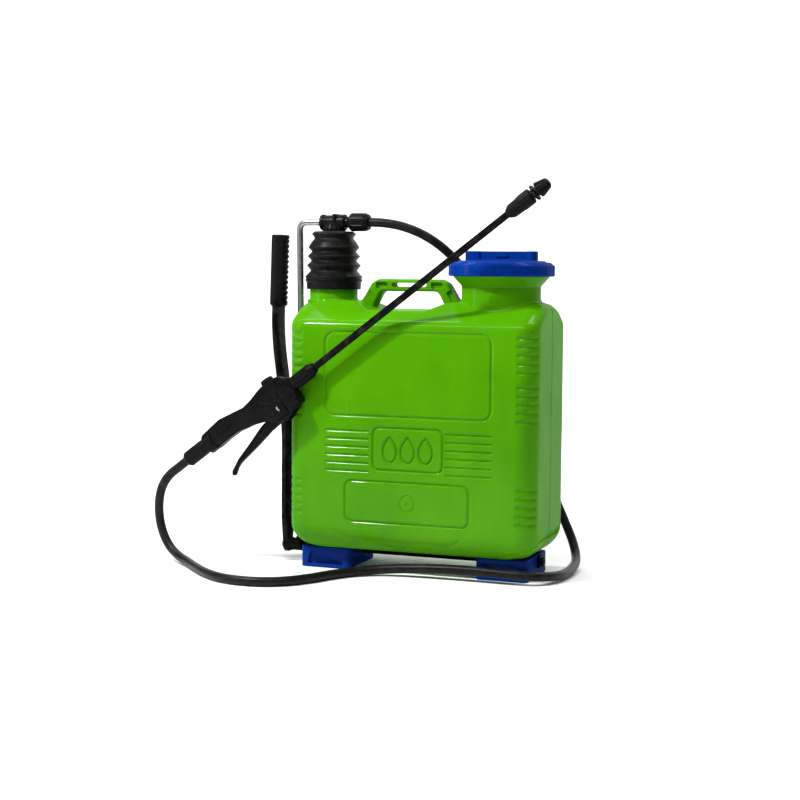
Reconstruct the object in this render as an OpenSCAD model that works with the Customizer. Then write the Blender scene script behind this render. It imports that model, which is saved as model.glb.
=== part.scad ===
// Lever-pumped knapsack sprayer: a moulded tank on two feet with a bellows-sealed piston pump worked by
// a side lever, a screw lid, and a trigger gun with its lance on a hose. Millimetres, +Z up. The floor is
// z = 0, the origin is midway between the feet, the decorated front faces -Y and the lever is at -X.

/* [Tank] */
// Width of the tank across its shoulders
tank_w = 360; // [352:1:368]
// Depth of the tank from the front to the back
tank_d = 168; // [164:1:172]
// Thickness of the moulded wall
wall = 3; // [2.5:0.25:3.5]
// Radius of the upright corners
corner_r = 28; // [24:1:32]

/* [Feet] */
// Height of each foot, which is also where the tank starts
foot_h = 30; // [29:0.5:31]
// Width of each foot
foot_w = 73; // [70:1:76]
// Depth of each foot from the front to the back
foot_d = 99; // [94:1:104]

/* [Pump] */
// Radius of the pump cylinder's bore
bore_r = 25; // [24.5:0.25:25.5]
// Height of the pump head's axis in the rest pose
head_z = 486; // [484:1:488]
// Radius of the bent connecting rod
rod_r = 4; // [3.5:0.25:4]

/* [Lid] */
// Outer radius of the lid's skirt
lid_r = 73; // [72:0.5:75]
// Length of the grip bar across the lid
lid_grip = 102; // [94:1:106]

/* [Lever] */
// Angle of the crank above level in the rest pose
crank_rise = 38; // [37:0.5:39]
// Thickness of the lever arm
arm_t = 8; // [6:0.5:8]
// Depth of the lever arm
arm_w = 28; // [24:1:30]
// Outer radius of the ribbed hand grip
grip_r = 12.6; // [12:0.2:13]

/* [Gun and lance] */
// Tilt of the lance above level
gun_tilt = 37.2; // [36:0.1:38]
// Radius of the lance tube
lance_r = 4.8; // [4.2:0.1:4.8]
// Outer radius of the nozzle body
nozzle_r = 11; // [10:0.25:11.5]

/* [Hose] */
// Outer diameter of the hose
hose_d = 13; // [12:0.5:13]

/* [Hidden] */
$fn = 64;

// colours
green = [0.30, 0.62, 0.05];
blue = [0.03, 0.16, 0.55];
black = [0.09, 0.09, 0.09];
dark = [0.16, 0.16, 0.17];
steel = [0.75, 0.76, 0.78];
pale = [0.85, 0.85, 0.80];
cloth = [0.13, 0.13, 0.14];

// where things stand
pump_x = -142.5;
lid_x = 107;
shoulder_z = 376;
saddle_z = 364;
foot_x = 93;
foot_y = -61;
shaft_y = -2;
shaft_z = 20;
shaft_r = 6;
pin_y = 30;
pin_z = 44.2;
rod_x = -195.3;
pin_x = -204;
seam = 0.3;

// --- shared shapes ---
module rounded_plate(w, d, r) {
    square([w - 2 * r, d], center = true);
    square([w, d - 2 * r], center = true);
    for (sx = [-1, 1], sy = [-1, 1])
        translate([sx * (w / 2 - r), sy * (d / 2 - r)])
            circle(r);
}

module ring(outer, inner, h) {
    difference() {
        cylinder(r = outer, h = h);
        translate([0, 0, -1])
            cylinder(r = inner, h = h + 2);
    }
}

module along_x(x, y, z) {
    translate([x, y, z])
        rotate([0, 90, 0])
            children();
}

module along_y(x, y, z) {
    translate([x, y, z])
        rotate([-90, 0, 0])
            children();
}

// upright outline in x and z, given its thickness along y
module slab_xz(t) {
    rotate([90, 0, 0])
        linear_extrude(t, center = true)
            children();
}

module pill(length, height) {
    square([length - height, height], center = true);
    for (s = [-1, 1])
        translate([s * (length - height) / 2, 0])
            circle(height / 2);
}

// swept tube: rings of points around a list of centres, closed at both ends
sides = 10;
function unit(v) = v / norm(v);
function along(p, i) = unit(p[min(i + 1, len(p) - 1)] - p[max(i - 1, 0)]);
function across(t) = unit(cross(t, abs(t[2]) > 0.9 ? [1, 0, 0] : [0, 0, 1]));
function carried(s, t) = unit(s - (s * t) * t);
function side_steps(p, i) = i == 0 ? [across(along(p, 0))]
    : let (before = side_steps(p, i - 1)) concat(before, [carried(before[i - 1], along(p, i))]);
function ring_points(c, t, s, r) = [for (k = [0 : sides - 1])
    c + r * (cos(360 * k / sides) * s + sin(360 * k / sides) * cross(t, s))];
function tube_points(p, r) = let (steps = side_steps(p, len(p) - 1))
    [for (i = [0 : len(p) - 1]) each ring_points(p[i], along(p, i), steps[i], r)];
function tube_faces(n) = concat(
    [[for (k = [0 : sides - 1]) k]],
    [for (i = [0 : n - 2], k = [0 : sides - 1])
        [i * sides + k, (i + 1) * sides + k, (i + 1) * sides + (k + 1) % sides, i * sides + (k + 1) % sides]],
    [[for (k = [sides - 1 : -1 : 0]) (n - 1) * sides + k]]);
module tube(p, r) {
    polyhedron(points = tube_points(p, r), faces = tube_faces(len(p)), convexity = 12);
}

// smooth path through hand-chosen points
function blend_point(a, b, c, d, t) = 0.5 * ((2 * b) + (c - a) * t + (2 * a - 5 * b + 4 * c - d) * t * t
    + (3 * b - a - 3 * c + d) * t * t * t);
function smooth_path(p, steps) = concat(
    [for (i = [0 : len(p) - 2], s = [0 : steps - 1])
        blend_point(p[max(i - 1, 0)], p[i], p[i + 1], p[min(i + 2, len(p) - 1)], s / steps)],
    [p[len(p) - 1]]);

// --- tank ---
function front_outline(t) = let (h = tank_w / 2 - t, b = foot_h + t, s = shoulder_z - t, d = saddle_z - t)
    [[-150, b], [150, b], [166 - t, b + 6], [175 - t, b + 18], [h, b + 38], [h, s - 18], [h - 5, s - 5],
     [h - 18, s], [40, s], [14, d], [-70, d], [-94, s], [-h + 18, s], [-h + 5, s - 5], [-h, s - 18],
     [-h, b + 38], [-175 + t, b + 18], [-166 + t, b + 6]];
function side_outline(t) = let (h = tank_d / 2 - t, b = foot_h + t, s = shoulder_z - t)
    [[-54, b], [54, b], [69 - t, b + 5], [78 - t, b + 15], [h, b + 34], [h, s - 41], [h - 3, s - 30],
     [h - 9, s - 22], [33, s], [-33, s], [-h + 9, s - 22], [-h + 3, s - 30], [-h, s - 41], [-h, b + 34],
     [-78 + t, b + 15], [-69 + t, b + 5]];

module tank_form(t) {
    intersection() {
        translate([0, 0, foot_h])
            linear_extrude(shoulder_z)
                rounded_plate(tank_w - 2 * t, tank_d - 2 * t, corner_r - t);
        slab_xz(tank_d)
            polygon(front_outline(t));
        rotate([90, 0, 90])
            linear_extrude(tank_w, center = true)
                polygon(side_outline(t));
    }
}

pump_neck_r = 34;
pump_neck_top = 402;
lid_neck_r = 54.5;
flare_z = 399;
collar_z = 411;
mouth_z = 423.5;
mouth_r = 57;
collar_r = 62;

module necks() {
    translate([pump_x, 0, shoulder_z - 20])
        cylinder(r = pump_neck_r, h = pump_neck_top - shoulder_z + 20);
    translate([lid_x, 0, shoulder_z - 20])
        cylinder(r = lid_neck_r, h = flare_z - shoulder_z + 20);
    translate([lid_x, 0, flare_z])
        cylinder(r1 = lid_neck_r, r2 = 66, h = collar_z - flare_z);
    translate([lid_x, 0, collar_z])
        cylinder(r = collar_r, h = mouth_z - collar_z);
}

module neck_bores() {
    translate([pump_x, 0, shoulder_z - 22])
        cylinder(r = pump_neck_r - wall - 0.5, h = 60);
    translate([lid_x, 0, shoulder_z - 22])
        cylinder(r = lid_neck_r - wall - 1.5, h = 60);
    translate([lid_x, 0, collar_z])
        cylinder(r = mouth_r, h = 30);
}

handle_x = -24;
handle_top = 406.5;
handle_t = 24;
module handle_outline() {
    difference() {
        polygon([[-83, 355], [-80, 364], [-56, 401], [-52, 404.8], [-46, handle_top], [46, handle_top],
            [52, 404.8], [56, 401], [80, 364], [83, 355]]);
        polygon([[-52, 350], [-52, 372], [-42, 389.5], [42, 389.5], [52, 372], [52, 350]]);
    }
}

module handle_pocket(x, z, length, height, turn) {
    for (s = [-1, 1])
        translate([x, s * (handle_t / 2 - 2), z])
            rotate([0, turn, 0])
                cube([length, 4.2, height], center = true);
}

module carry_handle() {
    color(green)
        difference() {
            handle_bow();
            tank_form(-0.02);
            necks();
        }
}

module handle_bow() {
    translate([handle_x, 0, 0])
        difference() {
            slab_xz(handle_t)
                handle_outline();
            translate([0, 0, 398.5])
                slab_xz(handle_t + 2)
                    pill(52, 5.5);
            for (s = [-1, 1]) {
                handle_pocket(s * 41, 398, 17, 9.5, 0);
                handle_pocket(s * 62.5, 383, 18, 9, s * 56);
            }
        }
}

// grooves on the moulded front
groove = 4.5;
groove_deep = 1.5;
panel_w = 240;
panel_lo = 219.5;
panel_hi = 333.5;
badge_w = 101;
badge_lo = 146;
badge_hi = 204;
plate_w = 179;
plate_lo = 73;
plate_hi = 129.5;

module on_front(z) {
    translate([0, -tank_d / 2 + groove_deep, z])
        rotate([90, 0, 0])
            linear_extrude(groove_deep + 2)
                children();
}

module outline_groove(w, lo, hi, r) {
    on_front((lo + hi) / 2)
        difference() {
            rounded_plate(w, hi - lo, r);
            rounded_plate(w - 2 * groove, hi - lo - 2 * groove, r - groove);
        }
}

module front_grooves() {
    outline_groove(panel_w, panel_lo, panel_hi, 14);
    outline_groove(badge_w, badge_lo, badge_hi, 10);
    outline_groove(plate_w, plate_lo, plate_hi, 10);
}

module front_badges() {
    translate([0, -tank_d / 2 + 1, (badge_lo + badge_hi) / 2 - 4])
        rotate([90, 0, 0])
            cylinder(r = 15, h = 2);
    translate([0, -tank_d / 2 + 1, (plate_lo + plate_hi) / 2])
        rotate([90, 0, 0])
            cylinder(r = 13, h = 2);
}

module tank() {
    color(green)
        difference() {
            union() {
                tank_form(0);
                necks();
                front_badges();
            }
            tank_form(wall);
            neck_bores();
            front_grooves();
        }
}

// --- feet ---
screw_y = [-40, 24];
module foot() {
    difference() {
        translate([foot_x + foot_w / 2, foot_y + foot_d / 2, 0])
            linear_extrude(foot_h)
                rounded_plate(foot_w, foot_d, 5);
        along_x(foot_x - 1, shaft_y, shaft_z)
            cylinder(r = shaft_r + 0.06, h = foot_w + 2);
        translate([foot_x + foot_w / 2, foot_y, 15])
            slab_xz(4)
                polygon([[-27, -10], [27, -10], [23, 8], [-27, 8]]);
        for (y = screw_y)
            translate([foot_x + foot_w / 2, y, -1])
                cylinder(r = 5.5, h = 6);
        for (y = screw_y)
            translate([foot_x + foot_w / 2, y, -1])
                cylinder(r = 2.5, h = foot_h + 2);
    }
}

module right_foot() {
    color(blue)
        foot();
}

module left_foot() {
    color(blue)
        mirror([1, 0, 0])
            foot();
}

module foot_screws() {
    color(steel)
        for (s = [-1, 1], y = screw_y)
            translate([s * (foot_x + foot_w / 2), y, 1.5]) {
                cylinder(r = 5.2, h = 3.5);
                cylinder(r = 2.5, h = foot_h - 1.5);
            }
}

// --- pump, fixed pieces ---
module bellows_cuff() {
    color(black)
        translate([pump_x, 0, 391])
            difference() {
                cylinder(r1 = 39, r2 = 39.8, h = 14);
                translate([0, 0, -1])
                    cylinder(r = pump_neck_r, h = 16);
            }
}

cylinder_lo = 64;
valve_lo = 52;
screen_lo = 42;
piston_lo = 97;
module pump_cylinder() {
    color(pale)
        translate([pump_x, 0, 0])
            difference() {
                union() {
                    translate([0, 0, cylinder_lo])
                        cylinder(r = bore_r + 3, h = pump_neck_top - cylinder_lo);
                    translate([0, 0, pump_neck_top])
                        cylinder(r = pump_neck_r - 0.2, h = 3);
                }
                translate([0, 0, cylinder_lo - 1])
                    cylinder(r = bore_r, h = 400);
            }
}

module foot_valve() {
    color(dark)
        translate([pump_x, 0, valve_lo])
            difference() {
                cylinder(r = bore_r + 3, h = cylinder_lo - valve_lo);
                translate([0, 0, -1])
                    cylinder(r = 6, h = 20);
                for (a = [0 : 60 : 300])
                    rotate([0, 0, a])
                        translate([16, 0, -1])
                            cylinder(r = 3.5, h = 9);
            }
}

module suction_screen() {
    color(pale)
        translate([pump_x, 0, screen_lo])
            difference() {
                ring(20, 17.5, valve_lo - screen_lo);
                for (a = [0 : 30 : 330])
                    rotate([0, 0, a])
                        translate([18.8, 0, 5])
                            cube([8, 4, 5], center = true);
            }
}

module filler_strainer() {
    color(black)
        translate([lid_x, 0, 0])
            difference() {
                union() {
                    translate([0, 0, collar_z])
                        cylinder(r = mouth_r - 0.2, h = 2.5);
                    translate([0, 0, 352])
                        cylinder(r = 47.5, h = collar_z - 352);
                }
                translate([0, 0, 354.5])
                    cylinder(r = 45, h = 80);
                for (a = [0 : 30 : 330])
                    rotate([0, 0, a])
                        translate([46, 0, 376])
                            cube([8, 12, 28], center = true);
                for (x = [-30 : 10 : 30])
                    translate([x, 0, 352])
                        cube([4, 60, 10], center = true);
            }
}

// --- carrying straps, drawn up short on the back ---
back_y = tank_d / 2;
strap_lean = 18;
pad_t = 13;
module strap_anchor() {
    color(black)
        difference() {
            translate([0, back_y, 309])
                slab_xz(2 * 7)
                    rounded_plate(130, 24, 6);
            translate([0, 0, 309])
                cube([400, 2 * back_y, 60], center = true);
            for (s = [-1, 1])
                translate([s * 36, back_y + 3, 306])
                    cube([58, 3, 40], center = true);
        }
}

module strap_hooks() {
    color(black)
        for (s = [-1, 1])
            translate([s * 114, back_y, 74])
                difference() {
                    slab_xz(2 * 7)
                        rounded_plate(56, 20, 5);
                    cube([80, 2 * seam, 40], center = true);
                    translate([0, -10, 0])
                        cube([80, 20, 40], center = true);
                    translate([0, 3, 2])
                        cube([44, 3, 30], center = true);
                }
}

module leaning(s) {
    translate([s * 36, back_y + 3, 316])
        rotate([0, -s * strap_lean, 0])
            children();
}

module strap(s) {
    color(cloth)
        leaning(s)
            translate([0, 0, -126])
                cube([38, 2, 252], center = true);
}

module pad(s) {
    color(black)
        leaning(s)
            translate([0, 1.5 + pad_t / 2, -112])
                slab_xz(pad_t)
                    rounded_plate(58, 150, 20);
}

module left_strap() {
    strap(-1);
}

module right_strap() {
    strap(1);
}

module left_pad() {
    pad(-1);
}

module right_pad() {
    pad(1);
}

// --- hose ---
hose_points = [[-87.6, 0, 486], [-64, 2, 484.5], [-38, 9, 479], [-12, 22, 467], [10, 39, 449], [29, 57, 425],
    [46, 74, 396], [61, 86, 362], [77, 91.5, 322], [95, 91.5, 276], [112, 91.5, 228], [129, 91.5, 180],
    [147, 91.5, 134], [163, 91.5, 96], [178, 90, 64], [191, 84, 38], [200, 70, 20], [205, 48, 12],
    [207, 20, 9.5], [206, -10, 8.5], [202, -38, 9.5], [190, -62, 11.5], [170, -75, 13], [142, -78, 14],
    [110, -78, 15], [70, -78, 15], [30, -78, 13.5], [-8, -80, 11], [-42, -88, 8.5], [-68, -106, 7],
    [-88, -134, 6.6], [-104, -166, 6.6], [-124, -195, 6.6], [-152, -213, 6.6], [-186, -217, 6.6],
    [-220, -208, 6.6], [-252, -186, 6.6], [-282, -157, 6.6], [-308, -130, 7], [-332, -111, 10],
    [-352, -101, 20], [-365, -98, 38], [-371.5, -98, 62], [-372, -98, 86], [-367, -98, 107],
    [-355.5, -98, 124], [-337.5, -98, 138.3], [-327.4, -98, 145.95]];
module hose() {
    color(black)
        tube(hose_points, hose_d / 2);
}

// --- pump, moving pieces ---
module bellows() {
    color(black)
        translate([pump_x, 0, 0])
            rotate_extrude()
                polygon([[39.5, 405.3], [41, 409], [33, 417.5], [38.7, 425], [32, 431.5], [37.6, 438],
                    [31.4, 444.5], [36.6, 450.5], [27.5, 463.5], [31.8, 469.5], [28, 473], [15, 473.7],
                    [15, 471.5], [26.5, 470.8], [28.6, 469.3], [24.3, 463.4], [33, 450.3], [28, 444.4],
                    [34, 437.9], [28.6, 431.4], [35.1, 424.9], [29.6, 417.4], [37, 409], [36, 405.3]]);
}

stem_lo = 463;
module pump_head() {
    color(black)
        difference() {
            union() {
                along_x(pump_x - 19.5, 0, head_z)
                    cylinder(r = 11.3, h = 38);
                translate([pump_x, 0, stem_lo])
                    cylinder(r = 14.9, h = head_z - stem_lo);
            }
            translate([pump_x, 0, stem_lo - 1])
                cylinder(r = 9, h = head_z - stem_lo);
            along_x(pump_x, 0, head_z)
                cylinder(r = 5, h = 30);
            along_x(pump_x - 25, 0, head_z)
                cylinder(r = rod_r, h = 16);
        }
}

module head_spigot() {
    color(dark)
        along_x(pump_x + 5, 0, head_z)
            difference() {
                union() {
                    cylinder(r = 5, h = 49);
                    translate([0, 0, 13.6])
                        cylinder(r = 7.5, h = 4.4);
                }
                translate([0, 0, -1])
                    cylinder(r = 3, h = 60);
            }
}

module hose_nut() {
    color(black)
        along_x(pump_x + 23.2, 0, head_z)
            difference() {
                union() {
                    cylinder(r1 = 8, r2 = 13, h = 4);
                    translate([0, 0, 4])
                        cylinder(r = 13, h = 21);
                    translate([0, 0, 25])
                        cylinder(r1 = 13, r2 = 10.5, h = 6);
                }
                translate([0, 0, -1])
                    cylinder(r = 5, h = 40);
            }
}

// the upper bend is a quarter ring, the shank leans down to the crank, the hook turns into its slot
bend_r = 10;
knuckle = 0.2;
shank_top = [rod_x, 0, head_z - bend_r];
shank_end = [pin_x, pin_y, pin_z];
module rod_between(a, b) {
    v = b - a;
    translate(a)
        rotate([0, acos(v[2] / norm(v)), atan2(v[1], v[0])])
            cylinder(r = rod_r, h = norm(v));
}

module connecting_rod() {
    color(steel) {
        along_x(rod_x + bend_r, 0, head_z)
            cylinder(r = rod_r, h = pump_x - 9 - rod_x - bend_r);
        translate([rod_x + bend_r, 0, head_z - bend_r])
            rotate([90, 0, 0])
                rotate_extrude(angle = 90, start = 90)
                    translate([bend_r, 0])
                        circle(rod_r);
        translate(shank_top)
            sphere(rod_r + knuckle);
        rod_between(shank_top, shank_end);
        translate(shank_end)
            sphere(rod_r + knuckle);
        along_x(pin_x, pin_y, pin_z)
            cylinder(r = rod_r, h = 14);
    }
}

module piston_tube() {
    color(pale)
        translate([pump_x, 0, piston_lo + 12])
            ring(20.5, 17.5, stem_lo - piston_lo - 12);
}

module piston() {
    color(dark)
        translate([pump_x, 0, piston_lo])
            difference() {
                union() {
                    cylinder(r = bore_r - 0.06, h = 4);
                    cylinder(r = 19, h = 12);
                    translate([0, 0, 8])
                        cylinder(r = bore_r - 0.06, h = 4);
                }
                translate([0, 0, -1])
                    cylinder(r = 4, h = 20);
                translate([0, 0, 8])
                    cylinder(r = 7.5, h = 20);
            }
}

module piston_seal() {
    color(black)
        translate([pump_x, 0, piston_lo + 4])
            ring(bore_r - 0.04, 19, 4);
}

module outlet_ball() {
    color(steel)
        translate([pump_x, 0, piston_lo + 8 + 6])
            sphere(6);
}

// --- lever ---
arm_x = -213;
boss_r = 11.5;
arm_line = [[-213, 20], [-213, 180], [-216.5, 225], [-222, 270], [-226.5, 305], [-228.5, 340], [-228, 372]];
arm_foot_z = 60;
arm_top_z = 372;
module lever_arm() {
    color(black)
        difference() {
            union() {
                intersection() {
                    translate([0, shaft_y, 0])
                        slab_xz(arm_w)
                            polygon(concat([for (p = arm_line) [p[0] - arm_t / 2, p[1]]],
                                [for (i = [len(arm_line) - 1 : -1 : 0])
                                    [arm_line[i][0] + arm_t / 2, arm_line[i][1]]]));
                    translate([arm_x, shaft_y, 0])
                        rotate([90, 0, 90])
                            linear_extrude(60, center = true)
                                polygon([[-boss_r, shaft_z], [-arm_w / 2, arm_foot_z], [-arm_w / 2, arm_top_z],
                                    [arm_w / 2, arm_top_z], [arm_w / 2, arm_foot_z], [boss_r, shaft_z]]);
                }
                along_x(arm_x - arm_t / 2, shaft_y, shaft_z)
                    cylinder(r = boss_r, h = arm_t);
            }
            along_x(arm_x - arm_t, shaft_y, shaft_z)
                cylinder(r = shaft_r, h = 2 * arm_t);
        }
}

module lever_grip() {
    color(dark)
        translate([-228, shaft_y, 372])
            rotate([0, 1.8, 0]) {
                cylinder(r = grip_r - 1.4, h = 92);
                for (i = [0 : 10])
                    translate([0, 0, 3 + i * 8])
                        cylinder(r = grip_r, h = 5);
                translate([0, 0, 91])
                    cylinder(r1 = grip_r, r2 = grip_r - 3, h = 4);
            }
}

module lever_shaft() {
    color(steel)
        along_x(arm_x - arm_t / 2, shaft_y, shaft_z)
            cylinder(r = shaft_r, h = 174 - arm_x + arm_t / 2);
}

slot_in = 31;
slot_out = 41.6;
slot_half = 5.3;
crank_x = -199;
crank_t = 6;
module crank() {
    color(dark)
        along_x(crank_x, shaft_y, shaft_z)
            difference() {
                union() {
                    cylinder(r = 9.5, h = 10);
                    rotate([0, 0, crank_rise + 90])
                        linear_extrude(crank_t) {
                            translate([0, -9.8])
                                square([slot_out, 19.6]);
                            translate([slot_out, 0])
                                circle(9.8);
                        }
                }
                translate([0, 0, -1])
                    cylinder(r = shaft_r, h = 20);
                rotate([0, 0, crank_rise + 90])
                    translate([0, 0, -1])
                        linear_extrude(crank_t + 2) {
                            translate([slot_in, -slot_half])
                                square([slot_out - slot_in, 2 * slot_half]);
                            for (r = [slot_in, slot_out])
                                translate([r, 0])
                                    circle(slot_half);
                        }
            }
}

module shaft_clip() {
    color(steel)
        along_x(foot_x + foot_w + 1, shaft_y, shaft_z)
            ring(9.5, shaft_r, 2.5);
}

module lever_screw() {
    color(steel)
        along_x(arm_x - arm_t / 2 - 3.5, shaft_y, shaft_z)
            cylinder(r = 6.5, h = 3.5, $fn = 6);
}

// --- lid ---
module lid_gasket() {
    color(black)
        translate([lid_x, 0, mouth_z + seam])
            ring(61, 53, 1.8);
}

plate_z = 426;
module lid_cap() {
    color(blue)
        translate([lid_x, 0, 0])
            difference() {
                union() {
                    translate([0, 0, collar_z + 0.5])
                        cylinder(r = lid_r, h = 15.5);
                    translate([0, 0, collar_z + 16])
                        cylinder(r1 = lid_r, r2 = lid_r - 6, h = 4);
                    translate([0, 0, collar_z + 20])
                        cylinder(r1 = 58, r2 = 40, h = 2.4);
                    translate([0, 0, 436])
                        cube([lid_grip - 18, 18, 16.5], center = true);
                    for (s = [-1, 1])
                        translate([s * (lid_grip / 2 - 9), 0, 428])
                            cylinder(r = 9, h = 16.2);
                }
                translate([0, 0, collar_z - 1])
                    cylinder(r = collar_r + 0.5, h = plate_z - collar_z + 1);
                for (s = [-1, 1])
                    translate([0, s * 10, 440])
                        cube([lid_grip - 26, 8, 11], center = true);
            }
}

// --- gun and lance, drawn with the lance along +X and then tilted into place ---
gun_at = [-156.6, -98, 264.5];
gun_t = 22;
inlet_v = 8.8;
valve_v = 2;
trigger_at = [-30, -17];
module gun_frame() {
    translate(gun_at)
        rotate([0, -gun_tilt, 0])
            children();
}

module gun_body() {
    color(black)
        gun_frame()
            difference() {
                union() {
                    slab_xz(gun_t)
                        polygon([[-163, -5], [-150, -6.2], [-133, -5.3], [-113, -5.7], [-90, -10.6],
                            [-71, -17.6], [-56, -29.5], [-41, -36.5], [-35, -35.3], [-9, -26.5], [-8, -17],
                            [-5.5, -11], [-5.5, 11.5], [-13, 16], [-18, 22], [-27, 24], [-47, 24],
                            [-55, 22.5], [-71, 18.9], [-86, 17.3], [-101, 20.3], [-127, 25.5], [-163, 22.5]]);
                    along_x(-166, 0, 8.2)
                        cylinder(r = 14.6, h = 14);
                    along_x(-6, 0, 0)
                        cylinder(r = 7, h = 18);
                }
                along_x(-170, 0, inlet_v)
                    cylinder(r = 3, h = 114);
                along_x(-170, 0, inlet_v)
                    cylinder(r = 5, h = 12);
                along_x(-60, 0, valve_v)
                    cylinder(r = 6, h = 54);
                along_x(-8, 0, 0)
                    cylinder(r = 2.4, h = 30);
                translate([-62.5, 0, -25.5])
                    cube([85, 10.8, 40], center = true);
                translate([-27, 0, -4])
                    cube([14, 7.4, 6], center = true);
                translate([-44.2, 0, -13.5])
                    cube([2.6, 40, 9], center = true);
                along_y(trigger_at[0], -20, trigger_at[1])
                    cylinder(r = 2.5, h = 40);
                translate([-36, 0, 17])
                    cylinder(r = 6, h = 10);
            }
}

module gun_barb() {
    color(dark)
        gun_frame()
            along_x(-206.5, 0, inlet_v)
                ring(5, 3, 48.5);
}

module gun_hose_nut() {
    color(black)
        gun_frame()
            along_x(-207, 0, inlet_v)
                difference() {
                    union() {
                        cylinder(r1 = 7.4, r2 = 11.2, h = 4.5);
                        translate([0, 0, 4.5])
                            cylinder(r = 11.2, h = 36.4);
                    }
                    translate([0, 0, -1])
                        cylinder(r = 5, h = 60);
                }
}

module valve_cap() {
    color(black)
        gun_frame()
            translate([-36, 0, 17]) {
                cylinder(r = 6, h = 7);
                translate([0, 0, 7])
                    cylinder(r1 = 10, r2 = 8.5, h = 6.2);
            }
}

module trigger_pin() {
    color(steel)
        gun_frame()
            along_y(trigger_at[0], -gun_t / 2, trigger_at[1])
                cylinder(r = 2.5, h = gun_t);
}

module lance_nut() {
    color(black)
        gun_frame()
            along_x(-5.2, 0, 0)
                difference() {
                    union() {
                        cylinder(r = 10.3, h = 34);
                        translate([0, 0, 34])
                            cylinder(r1 = 10.3, r2 = 6.5, h = 6);
                    }
                    translate([0, 0, -1])
                        cylinder(r = 7, h = 18.2);
                    translate([0, 0, 10])
                        cylinder(r = lance_r, h = 40);
                }
}

lance_from = 12.2;
lance_to = 388;
module lance_tube() {
    color(dark)
        gun_frame()
            along_x(lance_from, 0, 0)
                ring(lance_r, lance_r - 1.3, lance_to - lance_from);
}

module nozzle_body() {
    color(black)
        gun_frame()
            along_x(378, 0, 0)
                difference() {
                    union() {
                        cylinder(r1 = 6.5, r2 = nozzle_r - 1, h = 6);
                        translate([0, 0, 6])
                            cylinder(r1 = nozzle_r - 1, r2 = nozzle_r, h = 32);
                        translate([0, 0, 38])
                            cylinder(r1 = nozzle_r, r2 = 8.5, h = 2);
                        translate([0, 0, 40])
                            cylinder(r = 6.4, h = 18);
                    }
                    translate([0, 0, -1])
                        cylinder(r = lance_r, h = 11);
                    translate([0, 0, 5])
                        cylinder(r = 2, h = 60);
                }
}

module lock_ring() {
    color(black)
        gun_frame()
            along_x(421.2, 0, 0)
                difference() {
                    cylinder(r = nozzle_r + 0.3, h = 3.6);
                    translate([0, 0, -1])
                        cylinder(r = 6.4, h = 10);
                    for (a = [0 : 45 : 315])
                        rotate([0, 0, a])
                            translate([nozzle_r + 2, 0, -1])
                                cylinder(r = 3.4, h = 10);
                }
}

module nozzle_tip() {
    color(black)
        gun_frame()
            along_x(428, 0, 0)
                difference() {
                    union() {
                        cylinder(r1 = nozzle_r + 0.2, r2 = 7.6, h = 16);
                        translate([0, 0, 16])
                            cylinder(r1 = 7.6, r2 = 4.5, h = 2.6);
                    }
                    translate([0, 0, -1])
                        cylinder(r = 6.46, h = 10);
                    cylinder(r = 1, h = 30);
                }
}

trigger_t = 10;
module trigger() {
    color(black)
        gun_frame()
            difference() {
                union() {
                    slab_xz(trigger_t)
                        polygon([[-30, -10.5], [-60, -15.6], [-83, -20], [-111, -28.6], [-137, -35.6],
                            [-155.5, -44], [-158, -48], [-157, -51.6], [-153, -50], [-146, -45.3],
                            [-137, -42.4], [-105, -38.7], [-72, -33.4], [-54, -32.5], [-34, -25]]);
                    along_y(trigger_at[0], -trigger_t / 2, trigger_at[1])
                        cylinder(r = 7, h = trigger_t);
                    translate([-29.2, -3, -17])
                        cube([3.9, 6, 15.8]);
                }
                along_y(trigger_at[0], -20, trigger_at[1])
                    cylinder(r = 2.56, h = 40);
            }
}

module valve_stem() {
    color(steel)
        gun_frame() {
            along_x(-52, 0, valve_v)
                cylinder(r = 2.3, h = 38);
            along_x(-24.6, 0, valve_v)
                cylinder(r = 5.94, h = 3);
        }
}

module valve_seal() {
    color(black)
        gun_frame()
            along_x(-50, 0, valve_v)
                ring(5.94, 2.36, 4);
}

spring_turns = 5;
spring_at = -21.2;
spring_l = 11;
spring_points = [for (i = [0 : 14 * spring_turns])
    [spring_at + 0.5 + (spring_l - 1) * i / (14 * spring_turns),
     4.4 * cos(360 * i / 14), valve_v + 4.4 * sin(360 * i / 14)]];
module valve_spring() {
    color(steel)
        gun_frame()
            tube(spring_points, 0.5);
}

// --- assembly ---
tank();
carry_handle();
left_foot();
right_foot();
foot_screws();
bellows_cuff();
pump_cylinder();
foot_valve();
suction_screen();
filler_strainer();
strap_anchor();
strap_hooks();
left_strap();
right_strap();
left_pad();
right_pad();
hose();
bellows();
pump_head();
head_spigot();
hose_nut();
connecting_rod();
piston_tube();
piston();
piston_seal();
outlet_ball();
lever_arm();
lever_grip();
lever_shaft();
crank();
shaft_clip();
lever_screw();
lid_gasket();
lid_cap();
gun_body();
gun_barb();
gun_hose_nut();
valve_cap();
trigger_pin();
lance_nut();
lance_tube();
nozzle_body();
lock_ring();
nozzle_tip();
trigger();
valve_stem();
valve_seal();
valve_spring();
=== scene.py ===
import math

import bmesh
import bpy
import numpy as np
from bpy.props import FloatProperty, FloatVectorProperty, IntProperty, PointerProperty
from bpy.types import Operator, Panel, PropertyGroup
from mathutils import Matrix, Vector


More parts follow.
